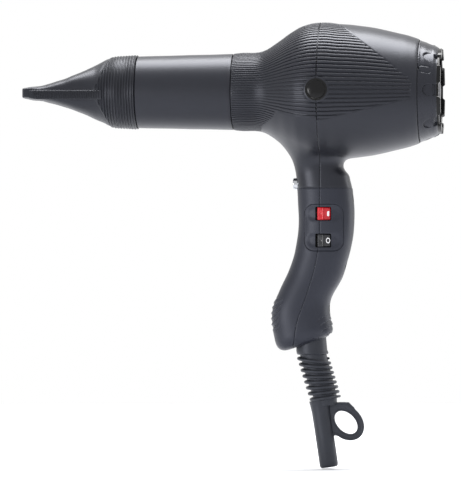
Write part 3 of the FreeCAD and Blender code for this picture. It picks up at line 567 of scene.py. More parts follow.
# Spacing of the nets over the body and over the grip, and how near a grip point is moved onto a cutting plane
BODY_STEP = 0.9
GRIP_STEP = 0.58
GRIP_NEAR = 0.18

# The front shell's ribs end this far below the middle, and no rib comes nearer to the badge's middle than this
RIBBED_LOW_ANGLE = math.radians(-23.5)
BADGE_CLEARANCE = 8.4
# The rear shell's ribs end in a point here
RIBBED_REAR = 64
WIDEST = 47.6
# How widely the neck blends into the body at its front and at its rear
NECK_BLEND_FRONT = 13
NECK_BLEND_REAR = 6.5


def ribbed(x, y, z):
    """How far inside the ribbed part of the body a point is, in millimetres, below 0 outside it."""
    r = np.hypot(y, z)
    low = z - r * math.sin(RIBBED_LOW_ANGLE)
    under = np.clip(-z / np.maximum(r, 1), 0, 1)
    collar = (-29.0 - 12.0 * ease(0.4, 1.0, under)) - x
    front = np.minimum(np.maximum(low, collar), -x + 0.6)
    # The slanted upper and lower edges of the rear shell's ribs; the factors make them true distances
    upper = (7 + (RIBBED_REAR - x) / 1.3 - z) * 0.79
    lower = (z + 5.5 + (RIBBED_REAR - x) / 4) * 0.97
    rear = np.minimum(np.minimum(upper, lower), np.minimum(RIBBED_REAR - x, x + 0.6))
    return np.minimum(np.maximum(front, rear), np.hypot(x, z) - BADGE_CLEARANCE)


def body_field(x, y, z, rib_depth):
    """Distance from the round body, lowered where it carries ribs."""
    radius = body_radius(x)
    steep = body_radius(x + 0.5) - body_radius(x - 0.5)
    base = radius - rib_depth * radius / WIDEST * ease(-0.1, 1.3, ribbed(x, y, z))
    return (np.hypot(y, z) - base) / np.sqrt(1 + steep**2)


def handle_field(x, y, z, proud=0.0):
    """Distance from the handle, whose sections are fat ellipses between its front and rear edges."""
    front, rear = handle_front(z) - proud, handle_rear(z) + proud
    middle, half = (front + rear) / 2, (rear - front) / 2
    width = handle_half_width(z) + proud
    across, along = np.abs(y) / width, np.abs(x - middle) / half
    share = np.maximum((along**HANDLE_POWER + across**HANDLE_POWER) ** (1 / HANDLE_POWER), 1e-6)
    away = np.hypot(x - middle, y)
    return away - away / share


def shells_field(rib_depth):
    """The body and the neck below it."""

    def field(x, y, z):
        neck = np.maximum(handle_field(x, y, z), z + 15)
        rear_share = ease(-14, 2, x)
        blend = NECK_BLEND_FRONT * (1 - rear_share) + NECK_BLEND_REAR * rear_share
        return smooth_min(body_field(x, y, z, rib_depth), neck, blend)

    return field


PANEL_MIDDLE = (2.6, -93.7)
PANEL_HALF = (13.7, 16.25)
PANEL_CORNER = 7.0
PANEL_SUNK = 0.35
PANEL_GROOVE_WIDTH = 0.45
PANEL_GROOVE_DEPTH = 0.55
DISH_HALF = (12.6, 5.8)
DISH_CORNER = 5.7
DISH_DEPTH = 0.75
KEY_ROWS = (-84.1, -102.5)
KEY_X = 2.3
KEY_WINDOW_HALF = (5.45, 4.75)
KEY_WINDOW_CORNER = 0.9
BUTTON_Z = -63.5
BUTTON_HOLE_RADIUS = 4.35
SCREW_ROWS = (-73.5, -120.0, -149.0)
SCREW_HOLE_RADIUS = 2.9
TOOTH_PITCH = 4.0
STEP_PITCH = 3.8


def grip_field(x, y, z):
    """The lower handle with its switch panel, finger dishes, front teeth and rear steps."""
    base = handle_field(x, y, z, HANDLE_PROUD)
    slant = (z + 176.6) * math.cos(0.32) - (x + 19) * math.sin(0.32)
    base = smooth_max(base, -slant, 9.0)
    facing = ease(2, 6, -y)
    panel = rounded_box(x - PANEL_MIDDLE[0], z - PANEL_MIDDLE[1], *PANEL_HALF, PANEL_CORNER)
    lowered = PANEL_SUNK * ease(0.15, -0.75, panel)
    for row_z in KEY_ROWS:
        dish = rounded_box(x - PANEL_MIDDLE[0], z - row_z, *DISH_HALF, DISH_CORNER)
        lowered = lowered + DISH_DEPTH * ease(0.3, -3.6, dish)
    base = base + lowered * facing
    # Small slanted teeth on the front edge
    from_front = x - handle_front(z)
    phase = ((z + 163.8) - 0.9 * from_front) / TOOTH_PITCH
    window = ease(-165.5, -163, z) * ease(-141, -143.5, z) * ease(7.0, 4.5, from_front)
    base = base + window * (0.5 - 0.95 * (phase % 1.0) ** 2.5)
    # Curved steps at the rear of the foot
    from_rear = handle_rear(z) - x
    phase = ((z + 168) + 0.55 * from_rear) / STEP_PITCH
    window = ease(-168.5, -166, z) * ease(-153.0, -155.5, z) * ease(9.5, 5.5, from_rear)
    return base + 0.75 * window * (phase % 1.0) ** 1.6


def side_y(field, x, z):
    """Where the surface lies on the switch side, at the given x and z, by halving."""
    low, high = -22.0, 0.0
    for _ in range(24):
        middle = (low + high) / 2
        if field(x, middle, z) > 0:
            low = middle
        else:
            high = middle
    return (low + high) / 2


def sheared(net, sign):
    """Slides each level of the net along x by the seam's offset there."""
    for vertex in net.verts:
        vertex.co.x += sign * float(seam_x(vertex.co.z))


def casing_shells(sizes):
    """The body's front and rear shells, with their necks."""
    field = shells_field(sizes.rib_depth * 1000)
    low, high = (BODY_FRONT - 1.6, -49.5, GRIP_SEAM - 1.5), (BODY_REAR + 1.6, 49.5, 49.5)
    points, quads = surface_net(field, low, high, BODY_STEP)
    made = []
    for name, side in (("front_shell_look", 1), ("rear_shell_look", -1)):
        net = net_of(points, quads)
        clip_net(net, (SEAM_HALF_GAP * -side, 0, 0), (side, 0, 0), roll=0.16)
        end = BODY_FRONT if side > 0 else BODY_REAR
        clip_net(net, (end, 0, 0), (-side, 0, 0), roll=0.25)
        clip_net(net, (0, 0, GRIP_SEAM + GRIP_HALF_GAP), (0, 0, -1), roll=0.22)
        made.append(shell_piece(name, net, SHELL_WALL, FINISHES["casing"]))
    return made


def grip_halves():
    """The lower handle's front and rear halves, with the panel groove and the key windows cut out."""
    points, quads = surface_net(grip_field, (-38, -19, -180), (26, 19, GRIP_SEAM + 1.2), GRIP_STEP)
    made = []
    for name, side in (("front_handle_look", 1), ("rear_handle_look", -1)):
        net = net_of(points, quads)
        sheared(net, -1)
        clip_net(net, (SEAM_HALF_GAP * -side, 0, 0), (side, 0, 0), roll=0.14, near=GRIP_NEAR)
        sheared(net, 1)
        clip_net(net, (0, 0, GRIP_SEAM - GRIP_HALF_GAP), (0, 0, 1), roll=0.22, near=GRIP_NEAR)
        made.append(shell_piece(name, net, SHELL_WALL, FINISHES["grip"]))
    sizes = np.array([*PANEL_HALF, PANEL_CORNER])
    outline = rounded_corners(*sizes, PANEL_MIDDLE, 10)
    inner = rounded_corners(*(sizes - PANEL_GROOVE_WIDTH), PANEL_MIDDLE, 10)
    outside = -24
    groove = []
    for corners in zip(outline, inner):
        (ou, ov), (iu, iv) = corners
        floor = [side_y(grip_field, u, v) + PANEL_GROOVE_DEPTH for u, v in corners]
        groove.append([(ou, outside, ov), (ou, floor[0], ov), (iu, floor[1], iv), (iu, outside, iv)])
    for half in made:
        cutters = [make_piece("groove_cutter", *tube_mesh(groove, close=True))]
        for row_z in KEY_ROWS:
            corners = rounded_corners(*KEY_WINDOW_HALF, KEY_WINDOW_CORNER, (KEY_X, row_z), 4)
            cutters.append(prism("window_cutter", corners, outside, -9))
        if half.name.startswith("front"):
            cutters.append(prism("button_cutter", circle(BUTTON_HOLE_RADIUS, BUTTON_Z, 48), -28, -8, "x"))
        else:
            for z in SCREW_ROWS:
                start = float(handle_rear(z)) - 1.5
                cutters.append(prism("screw_cutter", circle(SCREW_HOLE_RADIUS, z, 32), start, 40, "x"))
        carve(half, cutters)
    return made


# ---------------------------------------------------------------- repeated details


RIB_TREE = "ribs_along_lines"


def ribs_along(name, lines, finish_name, crest, base, height, corner, smooth=40.0):
    """Ribs along a set of lines, each a list of (point, outward, size), as a plain mesh object. The rib's sizes
    are in metres."""
    tree = bpy.data.node_groups.get(RIB_TREE) or rib_tree()
    values = {
        "Crest width": crest,
        "Base width": base,
        "Height": height,
        "Corner": corner,
        "Finish": FINISHES[finish_name],
    }
    mesh = bpy.data.meshes.new(name)
    points, edges, outward, size = [], [], [], []
    for line in lines:
        for k, (point, out, scale) in enumerate(line):
            if k:
                edges.append((len(points) - 1, len(points)))
            points.append([point[0] / 1000, point[1] / 1000, point[2] / 1000 + AXIS])
            outward.append(out)
            size.append(scale)
    mesh.from_pydata(points, edges, [])
    mesh.attributes.new("outward", "FLOAT_VECTOR", "POINT").data.foreach_set("vector", np.ravel(outward))
    mesh.attributes.new("size", "FLOAT", "POINT").data.foreach_set("value", np.asarray(size, float))
    made = bpy.data.objects.new(name, mesh)
    bpy.context.scene.collection.objects.link(made)
    modifier = made.modifiers.new("ribs", "NODES")
    modifier.node_group = tree
    by_name = {item.name: item.identifier for item in tree.interface.items_tree if item.in_out == "INPUT"}
    for label, value in values.items():
        modifier[by_name[label]] = value
    applied(made, smooth)
    for attribute in ("outward", "size"):
        found = made.data.attributes.get(attribute)
        if found:
            made.data.attributes.remove(found)
    return made


def rib_tree():
    """Ribs with a flat crest and sloping flanks, one along each line, standing on the line's outward side."""
    tree = bpy.data.node_groups.new(RIB_TREE, "GeometryNodeTree")
    tree.interface.new_socket("Geometry", in_out="INPUT", socket_type="NodeSocketGeometry")
    for label in ("Crest width", "Base width", "Height", "Corner"):
        tree.interface.new_socket(label, in_out="INPUT", socket_type="NodeSocketFloat")
    tree.interface.new_socket("Finish", in_out="INPUT", socket_type="NodeSocketMaterial")
    tree.interface.new_socket("Geometry", in_out="OUTPUT", socket_type="NodeSocketGeometry")
    given = add(tree, "NodeGroupInput").outputs
    curves = add(tree, "GeometryNodeMeshToCurve", {}, {"Mesh": given["Geometry"]}).outputs["Curve"]
    outward = add(
        tree, "GeometryNodeInputNamedAttribute", {"data_type": "FLOAT_VECTOR", "Name": "outward"}
    ).outputs["Attribute"]
    size = add(tree, "GeometryNodeInputNamedAttribute", {"data_type": "FLOAT", "Name": "size"}).outputs["Attribute"]
    normals = add(
        tree, "GeometryNodeSetCurveNormal", {"mode": "FREE"}, {"Curve": curves, "Normal": outward}
    ).outputs["Curve"]
    profile = add(
        tree,
        "GeometryNodeCurvePrimitiveQuadrilateral",
        {"mode": "TRAPEZOID", "Offset": 0.0},
        {"Height": given["Height"], "Bottom Width": given["Base width"], "Top Width": given["Crest width"]},
    ).outputs["Curve"]
    rounded = add(
        tree, "GeometryNodeFilletCurve", {"mode": "POLY", "Count": 2}, {"Curve": profile, "Radius": given["Corner"]}
    ).outputs["Curve"]
    half = add(
        tree, "ShaderNodeMath", {"operation": "MULTIPLY", 1: -0.5}, {0: given["Height"]}
    ).outputs["Value"]
    shift = add(tree, "ShaderNodeCombineXYZ", {}, {"X": half}).outputs["Vector"]
    turned = add(
        tree,
        "GeometryNodeTransform",
        {"Rotation": (0, 0, -math.pi / 2)},
        {"Geometry": rounded, "Translation": shift},
    ).outputs["Geometry"]
    skin = add(
        tree,
        "GeometryNodeCurveToMesh",
        {"Fill Caps": True},
        {"Curve": normals, "Profile Curve": turned, "Scale": size},
    ).outputs["Mesh"]
    real = add(tree, "GeometryNodeRealizeInstances", {}, {"Geometry": skin}).outputs["Geometry"]
    painted = add(
        tree, "GeometryNodeSetMaterial", {}, {"Geometry": real, "Material": given["Finish"]}
    ).outputs["Geometry"]
    add(tree, "NodeGroupOutput", {}, {"Geometry": painted})
    return tree


def body_rib_lines(count, side):
    """Lines along the body's meridians where it is ribbed, on the front (side 1) or rear shell."""
    start, end = (BODY_FRONT + 0.25, -0.45) if side > 0 else (0.45, BODY_REAR - 2.6)
    xs = np.arange(start, end + 0.2, 0.7)
    xs[-1] = end
    lines = []
    for k in range(count):
        a = 2 * math.pi * (k + 0.5) / count
        r = body_radius(xs)
        y, z = r * math.cos(a), r * math.sin(a)
        here = ribbed(xs, y, z) > -1.0
        slopes = (body_radius(xs + 0.3) - body_radius(xs - 0.3)) / 0.6
        runs, run = [], []
        for i, inside in enumerate(here):
            if inside:
                run.append(i)
            if run and (not inside or i == len(xs) - 1):
                runs.append(run)
                run = []
        for run in runs:
            if len(run) < 4:
                continue
            picked = run[:: 4 if len(run) > 12 else 2]
            if picked[-1] != run[-1]:
                picked.append(run[-1])
            line = []
            for i in picked:
                out = Vector((-slopes[i], math.cos(a), math.sin(a))).normalized()
                sunk = 0.02 + 0.35 * float(ease(0.2, -1.0, ribbed(xs[i], y[i], z[i])))
                point = Vector((xs[i], y[i], z[i])) - out * sunk
                line.append((point, out, r[i] / WIDEST))
            lines.append(line)
    return lines


# ---------------------------------------------------------------- barrel and nozzle


def barrel_piece():
    """The barrel between the body and the nozzle, with its bore, shoulder and spigot."""
    outline = [
        (-143.0, 22.7), (-142.6, 22.9), (-142.4, 23.3), (-142.2, 23.4), (-127.6, 23.4), (-127.2, 23.6), (-127.2, 24.4),
        (-126.8, 24.75), (-124.5, 24.85), (-115.0, 25.05), (-105.0, 25.2), (-91.0, 25.6), (-77.0, 25.8), (-63.3, 26.2),
        (-61.4, 26.2), (-61.1, 26.0), (-61.1, 24.2), (-60.9, 24.05), (-46.4, 24.05), (-46.0, 23.8), (-46.0, 22.9),
        (-46.2, 22.7),
    ]
    return make_piece("barrel_look", *tube_mesh(lathe_loops(outline, 144), close=True), FINISHES["barrel"])


NOZZLE_HALF_WIDTH = [
    (-208.5, 31.6), (-203.8, 31.2), (-197.0, 30.8), (-186.0, 29.2), (-175.0, 27.4), (-165.0, 25.8),
    (-156.0, 24.7), (-145.0, 25.0), (-127.0, 26.5),
]
NOZZLE_TOP = [
    (-208.5, 1.8), (-203.8, 2.3), (-201.6, 2.7), (-197.4, 3.5), (-193.2, 4.1), (-189.0, 5.3), (-184.8, 6.6),
    (-180.5, 8.1), (-176.3, 9.5), (-172.1, 11.5), (-167.9, 13.4), (-163.7, 15.4), (-159.5, 17.6), (-155.3, 19.8),
    (-151.1, 22.1), (-147.0, 24.3), (-143.0, 26.3), (-127.0, 34.0),
]
NOZZLE_BOTTOM = [
    (-208.5, -4.8), (-203.8, -4.8), (-201.6, -4.9), (-197.4, -5.3), (-193.2, -6.1), (-189.0, -7.3), (-184.8, -8.3),
    (-180.5, -9.6), (-176.3, -11.0), (-172.1, -12.5), (-167.9, -14.3), (-163.7, -16.0), (-159.5, -18.0),
    (-155.3, -20.0), (-151.1, -21.7), (-147.0, -24.0), (-143.0, -26.2), (-127.0, -34.0),
]
COLLAR_RADIUS = [
    (-208.5, 60.0), (-170.0, 36.0), (-156.0, 26.4), (-151.0, 24.4), (-146.9, 24.1), (-144.1, 24.6), (-141.3, 25.0),
    (-137.1, 25.2), (-132.9, 25.45), (-128.7, 25.7), (-127.0, 25.8),
]
NOZZLE_TIP = -203.7
NOZZLE_REAR = -127.5
NOZZLE_POINTS = 192
NOZZLE_WALL = 1.25
SOCKET_RADIUS = 23.55
THROAT_RADIUS = 22.0
COLLAR_RIB_PITCH = 1.95
COLLAR_RIB_DEPTH = 0.6
# The band's lower and upper edge on each narrow side, and how far it stands out
BAND = (-5.6, 1.0)
BAND_PROUD = 0.9
nozzle_half_width = spline(NOZZLE_HALF_WIDTH)
nozzle_top = spline(NOZZLE_TOP)
nozzle_bottom = spline(NOZZLE_BOTTOM)
collar_radius = spline(COLLAR_RADIUS)


def nozzle_loop(x, inset=0.0):
    """The nozzle's outline at x: a flat fishtail that grows into a ribbed round collar. inset moves it inward."""
    top, bottom = float(nozzle_top(x)), float(nozzle_bottom(x))
    half = float(nozzle_half_width(x) - BAND_PROUD * ease(-150, -156, x) * ease(-202, -198, x))
    middle, rise = (top + bottom) / 2, (top - bottom) / 2
    # Round at the collar, boxier towards the slit
    power = 1 - 0.45 * float(ease(-148, -172, x)) - 0.3 * float(ease(-190, -200, x))
    loop = []
    for k in range(NOZZLE_POINTS):
        a = 2 * math.pi * k / NOZZLE_POINTS
        c, s = math.cos(a), math.sin(a)
        y = half * math.copysign(abs(c) ** power, c)
        z = middle + rise * math.copysign(abs(s) ** power, s)
        r = math.hypot(y, z)
        limit = float(collar_radius(x))
        blended = float(smooth_min(r, limit, 1.2))
        edge = -156.5 + 10.5 * abs(z) / max(r, 1)
        if inset < 0.5:
            # Past the collar's curved edge the fishtail is a step lower
            blended -= 0.5 * float(ease(edge + 0.3, edge - 0.3, x)) * float(ease(-185, -165, x))
            wave = ((x - NOZZLE_REAR) / COLLAR_RIB_PITCH) % 1.0
            groove = float(ease(0.34, 0.10, abs(wave - 0.5))) * float(ease(edge + 0.2, edge + 0.9, x))
            blended -= COLLAR_RIB_DEPTH * groove
        blended = max(blended - inset, 1.0)
        loop.append((x, y / r * blended, z / r * blended))
    return loop


def nozzle_piece():
    """The concentrator nozzle: fishtail, ribbed collar, open slit and round socket."""
    fine = np.arange(-157.0, NOZZLE_REAR - 0.6, 0.24)
    outer = [NOZZLE_TIP, NOZZLE_TIP + 0.25, NOZZLE_TIP + 0.9, *np.arange(-202.2, -157.4, 1.6), *fine]
    loops = []
    for x in outer:
        roll = 0.35 if x == NOZZLE_TIP else (0.1 if x < NOZZLE_TIP + 0.3 else 0.0)
        loops.append(nozzle_loop(x, roll))
    rear_edge = nozzle_loop(NOZZLE_REAR - 0.01, 0.45)
    loops += [nozzle_loop(NOZZLE_REAR - 0.2, 0.2), rear_edge]
    angles = [math.atan2(p[2], p[1]) for p in rear_edge]
    socket = (
        (NOZZLE_REAR - 0.01, SOCKET_RADIUS + 0.25), (NOZZLE_REAR - 0.3, SOCKET_RADIUS), (-143.0, SOCKET_RADIUS),
        (-143.6, THROAT_RADIUS),
    )
    for x, radius in socket:
        loops.append([(x, radius * math.cos(a), radius * math.sin(a)) for a in angles])
    for x in (-146.0, -152.0, -158.0, -166.0, -175.0, -184.0, -193.0, -199.0, NOZZLE_TIP + 0.3):
        loops.append(nozzle_loop(x, NOZZLE_WALL))
    loops.append(nozzle_loop(NOZZLE_TIP, 0.9))
    nozzle = make_piece("nozzle_look", *tube_mesh(loops, close=True), FINISHES["nozzle"], smooth=38.0)
    return join_pieces(nozzle, [nozzle_band(side) for side in (-1, 1)])


def nozzle_band(side):
    """The raised band along one narrow side of the fishtail, which carries the bars."""
    low, high = BAND[0] + 0.1, BAND[1] - 0.1
    loops = []
    for x in np.arange(-199.0, -149.0, 1.4):
        wide = float(nozzle_half_width(x)) - 0.35
        bottom, top = max(low, float(nozzle_bottom(x)) + 0.3), min(high, float(nozzle_top(x)) - 0.3)
        loops.append([
            (x, side * (wide - 2.4), bottom), (x, side * (wide - 0.5), bottom), (x, side * wide, bottom + 0.5),
            (x, side * wide, top - 1.1), (x, side * (wide - 0.4), top - 0.35), (x, side * (wide - 1.0), top),
            (x, side * (wide - 2.4), top),
        ])
    return make_piece("band", *tube_mesh(loops), FINISHES["nozzle"])


def nozzle_bar_lines():
    """Short upright bars along the narrow side's band, on both sides, bent over its upper edge."""
    # How far up the band, how far in from its face and how much turned up
    bend = ((0.0, 0.25, 0.0), (0.35, 0.0, 0.0), (0.8, 0.0, 0.3), (0.93, 0.35, 0.8), (1.0, 0.95, 1.2))
    lines = []
    for side in (-1, 1):
        for x in np.arange(-196.6, -151.0, 1.2):
            wide = float(nozzle_half_width(x))
            steep = float(nozzle_half_width(x + 0.5) - nozzle_half_width(x - 0.5))
            out = Vector((-steep, side, 0)).normalized()
            taper = float(ease(-150.0, -156.0, x))
            low, high = max(BAND[0], float(nozzle_bottom(x))) + 0.3, min(BAND[1], float(nozzle_top(x)))
            line = []
            for rise, back, lean in bend:
                z = low + (high - low) * rise
                tilted = (out + Vector((0, 0, lean))).normalized()
                line.append((Vector((x, side * wide, z)) + out * (0.1 + 0.1 * taper - back), tilted, 1.0))
            lines.append(line)
    return lines


# ---------------------------------------------------------------- filter cap


CAP_OUTLINE = [
    (66.0, 36.1), (67.9, 35.3), (69.0, 34.7), (71.8, 33.8), (74.5, 32.7), (77.2, 31.7), (80.0, 30.6), (81.3, 29.9),
    (82.7, 28.6), (84.5, 26.0),
]
cap_radius = spline(CAP_OUTLINE)
NOTCH_HALF_WIDTH = 3.7
NOTCH_DEPTH = 1.4
TAB_ANGLE = 0.44
TAB_GROOVE_DEPTH = 0.5
CAP_OPENING_RADIUS = 26.2
CAP_WALL = 2.4
GRILLE_RADIUS = 26.6


def cap_field(x, y, z):
    """The filter cap: a domed rim with rounded notches, a castellated inner ring and an open middle."""
    r = np.hypot(y, z)
    angle = np.arctan2(z, np.abs(y))
    outer = (r - cap_radius(x)) * 0.93
    skirt = smooth_max(np.maximum(outer, 68.15 - x), x - 80.9, 1.2)
    # Notches at every 45 degrees, open to the rear edge
    turn = (angle + math.pi / 8) % (math.pi / 4) - math.pi / 8
    notch = rounded_box(r * turn, x - 86.5, NOTCH_HALF_WIDTH, 15.0, NOTCH_HALF_WIDTH - 0.1)
    skirt = skirt + NOTCH_DEPTH * ease(0.3, -0.3, notch)
    # A thin groove round a finger tab above the middle notch
    tab = np.abs(rounded_box(r * (angle - TAB_ANGLE), x - 72.8, 2.45, 4.2, 2.4))
    skirt = skirt + TAB_GROOVE_DEPTH * ease(0.5, 0.1, tab)
    # The ring behind the edge, with lobes between gaps
    lobe = 0.5 + 0.5 * np.cos(8 * (angle + math.pi / 8))
    ring = np.maximum(r - 28.3 - 1.3 * ease(0.25, 0.45, lobe), x - 82.0 - 1.35 * ease(0.3, 0.5, lobe))
    solid = np.maximum(smooth_min(skirt, ring, 0.4), CAP_OPENING_RADIUS - r)
    return np.maximum(solid, -np.maximum(r - (cap_radius(x) - CAP_WALL), x - 77.6))


def cap_piece():
    """The filter cap's rim, with its spigot."""
    points, quads = surface_net(cap_field, (67.4, -36.2, -36.2), (84.4, 36.2, 36.2), 0.45, 2)
    # The castellated ring behind the rim's edge is gloss black
    middles = points[quads].mean(1)
    gloss = (middles[:, 0] > 80.75) | (np.hypot(middles[:, 1], middles[:, 2]) < 28.0)
    made = make_piece("cap_rim", points, quads, FINISHES["cap"], FINISHES["badge"], smooth=50.0, parts=gloss)
    spigot = [
        (63.0, 31.3), (63.3, 31.1), (69.0, 31.1), (78.2, 30.2), (78.2, 31.6), (69.0, 32.9), (63.3, 32.9), (63.0, 32.7)
    ]
    sleeve = make_piece("cap_sleeve", *tube_mesh(lathe_loops(spigot, 96), close=True), FINISHES["cap"])
    return join_pieces(made, [sleeve])


def cap_grille_lines():
    """Spokes from the hub to the rim, and round bars between them, on the cap's rear face."""
    lines = []
    out = Vector((1, 0, 0))
    for k in range(24):
        a = math.pi / 12 * (k + 0.5)
        inner = 7.5 if k % 2 == 0 else 16.8
        line = []
        for r in np.linspace(inner, GRILLE_RADIUS, 6):
            dome = 81.3 - (r / GRILLE_RADIUS) ** 2
            line.append(((dome, r * math.cos(a), r * math.sin(a)), out, 1.0))
        lines.append(line)
    for radius in (12.4, 16.9, 21.4, 25.6):
        dome = 81.15 - (radius / GRILLE_RADIUS) ** 2
        line = []
        for k in range(97):
            a = 2 * math.pi * k / 96
            line.append(((dome, radius * math.cos(a), radius * math.sin(a)), out, 1.0))
        lines.append(line)
    return lines


# ---------------------------------------------------------------- strain relief

# The coil: its turns and the points on each; where its centre line starts and ends, as (x, z); how far its rings
# are turned, in degrees, and their radius, at the start and at the end
COIL_TURNS = 8
COIL_STEPS = 48
COIL_START = (-6.1, -182.6)
COIL_END = (2.7, -211.8)
COIL_TILT = (-5.3, 12.8)
COIL_RADIUS = (11.6, 10.7)
STUB_TILT = math.radians(8.2)
STUB_MOUTH = (5.18, 0, -258.49)


def ring_at(middle, tilt, radius, angles):
    """Points round a tilted circle."""
    side, across = Vector((math.cos(tilt), 0, math.sin(tilt))), Vector((0, 1, 0))
    return [Vector(middle) + radius * (side * math.cos(a) + across * math.sin(a)) for a in angles]


def between(ends, share):
    """The value at a share of the way between two ends."""
    return ends[0] + (ends[1] - ends[0]) * share


def coil_line():
    """The coil's strand, thinned at its two ends."""
    line = []
    for k in range(COIL_TURNS * COIL_STEPS + 1):
        t = k / (COIL_TURNS * COIL_STEPS)
        middle = Vector((between((COIL_START[0], COIL_END[0]), t), 0, between((COIL_START[1], COIL_END[1]), t)))
        tilt = math.radians(between(COIL_TILT, t))
        point = ring_at(middle, tilt, between(COIL_RADIUS, t), [2 * math.pi * k / COIL_STEPS])[0]
        size = 1.0 - 0.3 * float(ease(0.97, 1.0, t)) - 0.3 * float(ease(0.03, 0.0, t))
        line.append((point, (point - middle).normalized(), size))
    return line


def boot_piece():
    """The strain relief: a plain sleeve, a coiled sheath that turns in direction as it goes down, a stub tube
    and a hanging loop, in one soft moulding."""

    def round_skin(name, stations):
        loops = [ring_at((x, 0, z), tilt, radius, turns(48)) for x, z, tilt, radius in stations]
        return make_piece(name, *tube_mesh(loops), FINISHES["boot"])

    sleeve = [
        (-7.3, -168.0, 0.0, 10.2), (-6.9, -178.2, 0.02, 10.7), (-6.5, -179.2, 0.02, 10.9), (-6.3, -180.2, 0.02, 10.9),
        (-6.2, -180.9, 0.02, 10.3), (-6.2, -181.0, 0.02, 8.6),
    ]
    core = [(-6.4, -179.0, 0.05, 9.2), (-2.2, -195.0, 0.2, 8.8), (2.6, -211.0, 0.2, 8.0), (3.6, -216.0, 0.15, 7.0)]
    pieces = [round_skin("boot_sleeve", sleeve), round_skin("boot_core", core)]
    pieces.append(ribs_along("boot_coil", [coil_line()], "boot", 0.0020, 0.0026, 0.0030, 0.00095, smooth=60.0))
    # The stub tube carries the lead out, open at its mouth: distances up from the mouth, with radii
    up = Vector((-math.sin(STUB_TILT), 0, math.cos(STUB_TILT)))
    outline = [
        (0.0, 4.1), (0.0, 5.0), (0.35, 5.7), (1.0, 6.15), (2.0, 6.4), (24.0, 6.4), (38.0, 6.5), (44.0, 7.0),
        (46.5, 7.3), (46.5, 3.9), (20.0, 3.9), (1.0, 3.9), (0.3, 3.95),
    ]
    loops = [ring_at(Vector(STUB_MOUTH) + up * along, STUB_TILT, radius, turns(64)) for along, radius in outline]
    pieces.append(make_piece("boot_stub", *tube_mesh(loops, close=True), FINISHES["boot"]))
    pieces.append(hanging_loop())
    return join_pieces(pieces[0], pieces[1:])


LOOP_MIDDLE = (16.8, -227.6)
LOOP_TURN = math.radians(-45)
LOOP_HALF = (13.9, 10.8)
LOOP_EYE_HALF = (9.3, 6.2)
LOOP_HALF_THICKNESS = 2.5
# The web that joins the loop to the tube
LOOP_WEB = [
    (1.0, -214.2), (18.6, -213.8), (21.4, -217.4), (16.6, -228.0), (9.0, -236.4), (6.0, -236.4), (0.0, -230.0),
]


def oval(u, v, half_u, half_v):
    """Distance from an oval, below 0 inside it."""
    share = np.maximum(np.hypot(u / half_u, v / half_v), 1e-3)
    return np.hypot(u, v) * (1 - 1 / share)


def loop_field(x, y, z):
    """The flat hanging loop with a slanted oval eye, as a distance."""
    dx, dz = x - LOOP_MIDDLE[0], z - LOOP_MIDDLE[1]
    u = dx * math.cos(LOOP_TURN) + dz * math.sin(LOOP_TURN)
    v = -dx * math.sin(LOOP_TURN) + dz * math.cos(LOOP_TURN)
    eye = oval(u, v, *LOOP_EYE_HALF)
    web = np.full(np.shape(x), -1e9)
    for k, (x0, z0) in enumerate(LOOP_WEB):
        x1, z1 = LOOP_WEB[(k + 1) % len(LOOP_WEB)]
        length = math.hypot(x1 - x0, z1 - z0)
        web = np.maximum(web, -((x - x0) * (z1 - z0) - (z - z0) * (x1 - x0)) / length)
    face = smooth_min(oval(u, v, *LOOP_HALF), web, 3.0)
    flat = smooth_max(face, np.abs(y) - LOOP_HALF_THICKNESS + 0.55 * ease(-1.0, -1.7, face) * ease(0.6, 1.4, eye), 0.9)
    return smooth_max(flat, -eye, 0.9)


def hanging_loop():
    """The loop that the dryer hangs by."""
    points, quads = surface_net(loop_field, (-2, -3.6, -243), (33, 3.6, -210), 0.42)
    return make_piece("boot_loop", points, quads, FINISHES["boot"], smooth=55.0)


# ---------------------------------------------------------------- small pieces


KEY_PIVOT_Y = -11.2
KEY_HALF_HEIGHT = 4.35
MARK_X = KEY_X + 3.25
MARK_PROUD = 0.06
MARK_ROOT = 0.3
# The bar mark's outline about its middle, and the ring mark's outer and inner radius with its narrowing along x
BAR_MARK = [(-0.65, -1.3), (-0.3, -1.75), (0.75, -1.75), (0.75, 1.75), (-0.3, 1.75), (-0.65, 1.3)]
RING_MARK = (1.95, 1.3)
RING_NARROWING = 0.72


def bump(value, middle, width):
    """A bell curve's height."""
    return math.exp(-(((value - middle) / width) ** 2))


def roll(share, reach):
    """How far an edge is rounded off at a share of the width from it."""
    return max(0.0, 1 - share / reach) ** 2


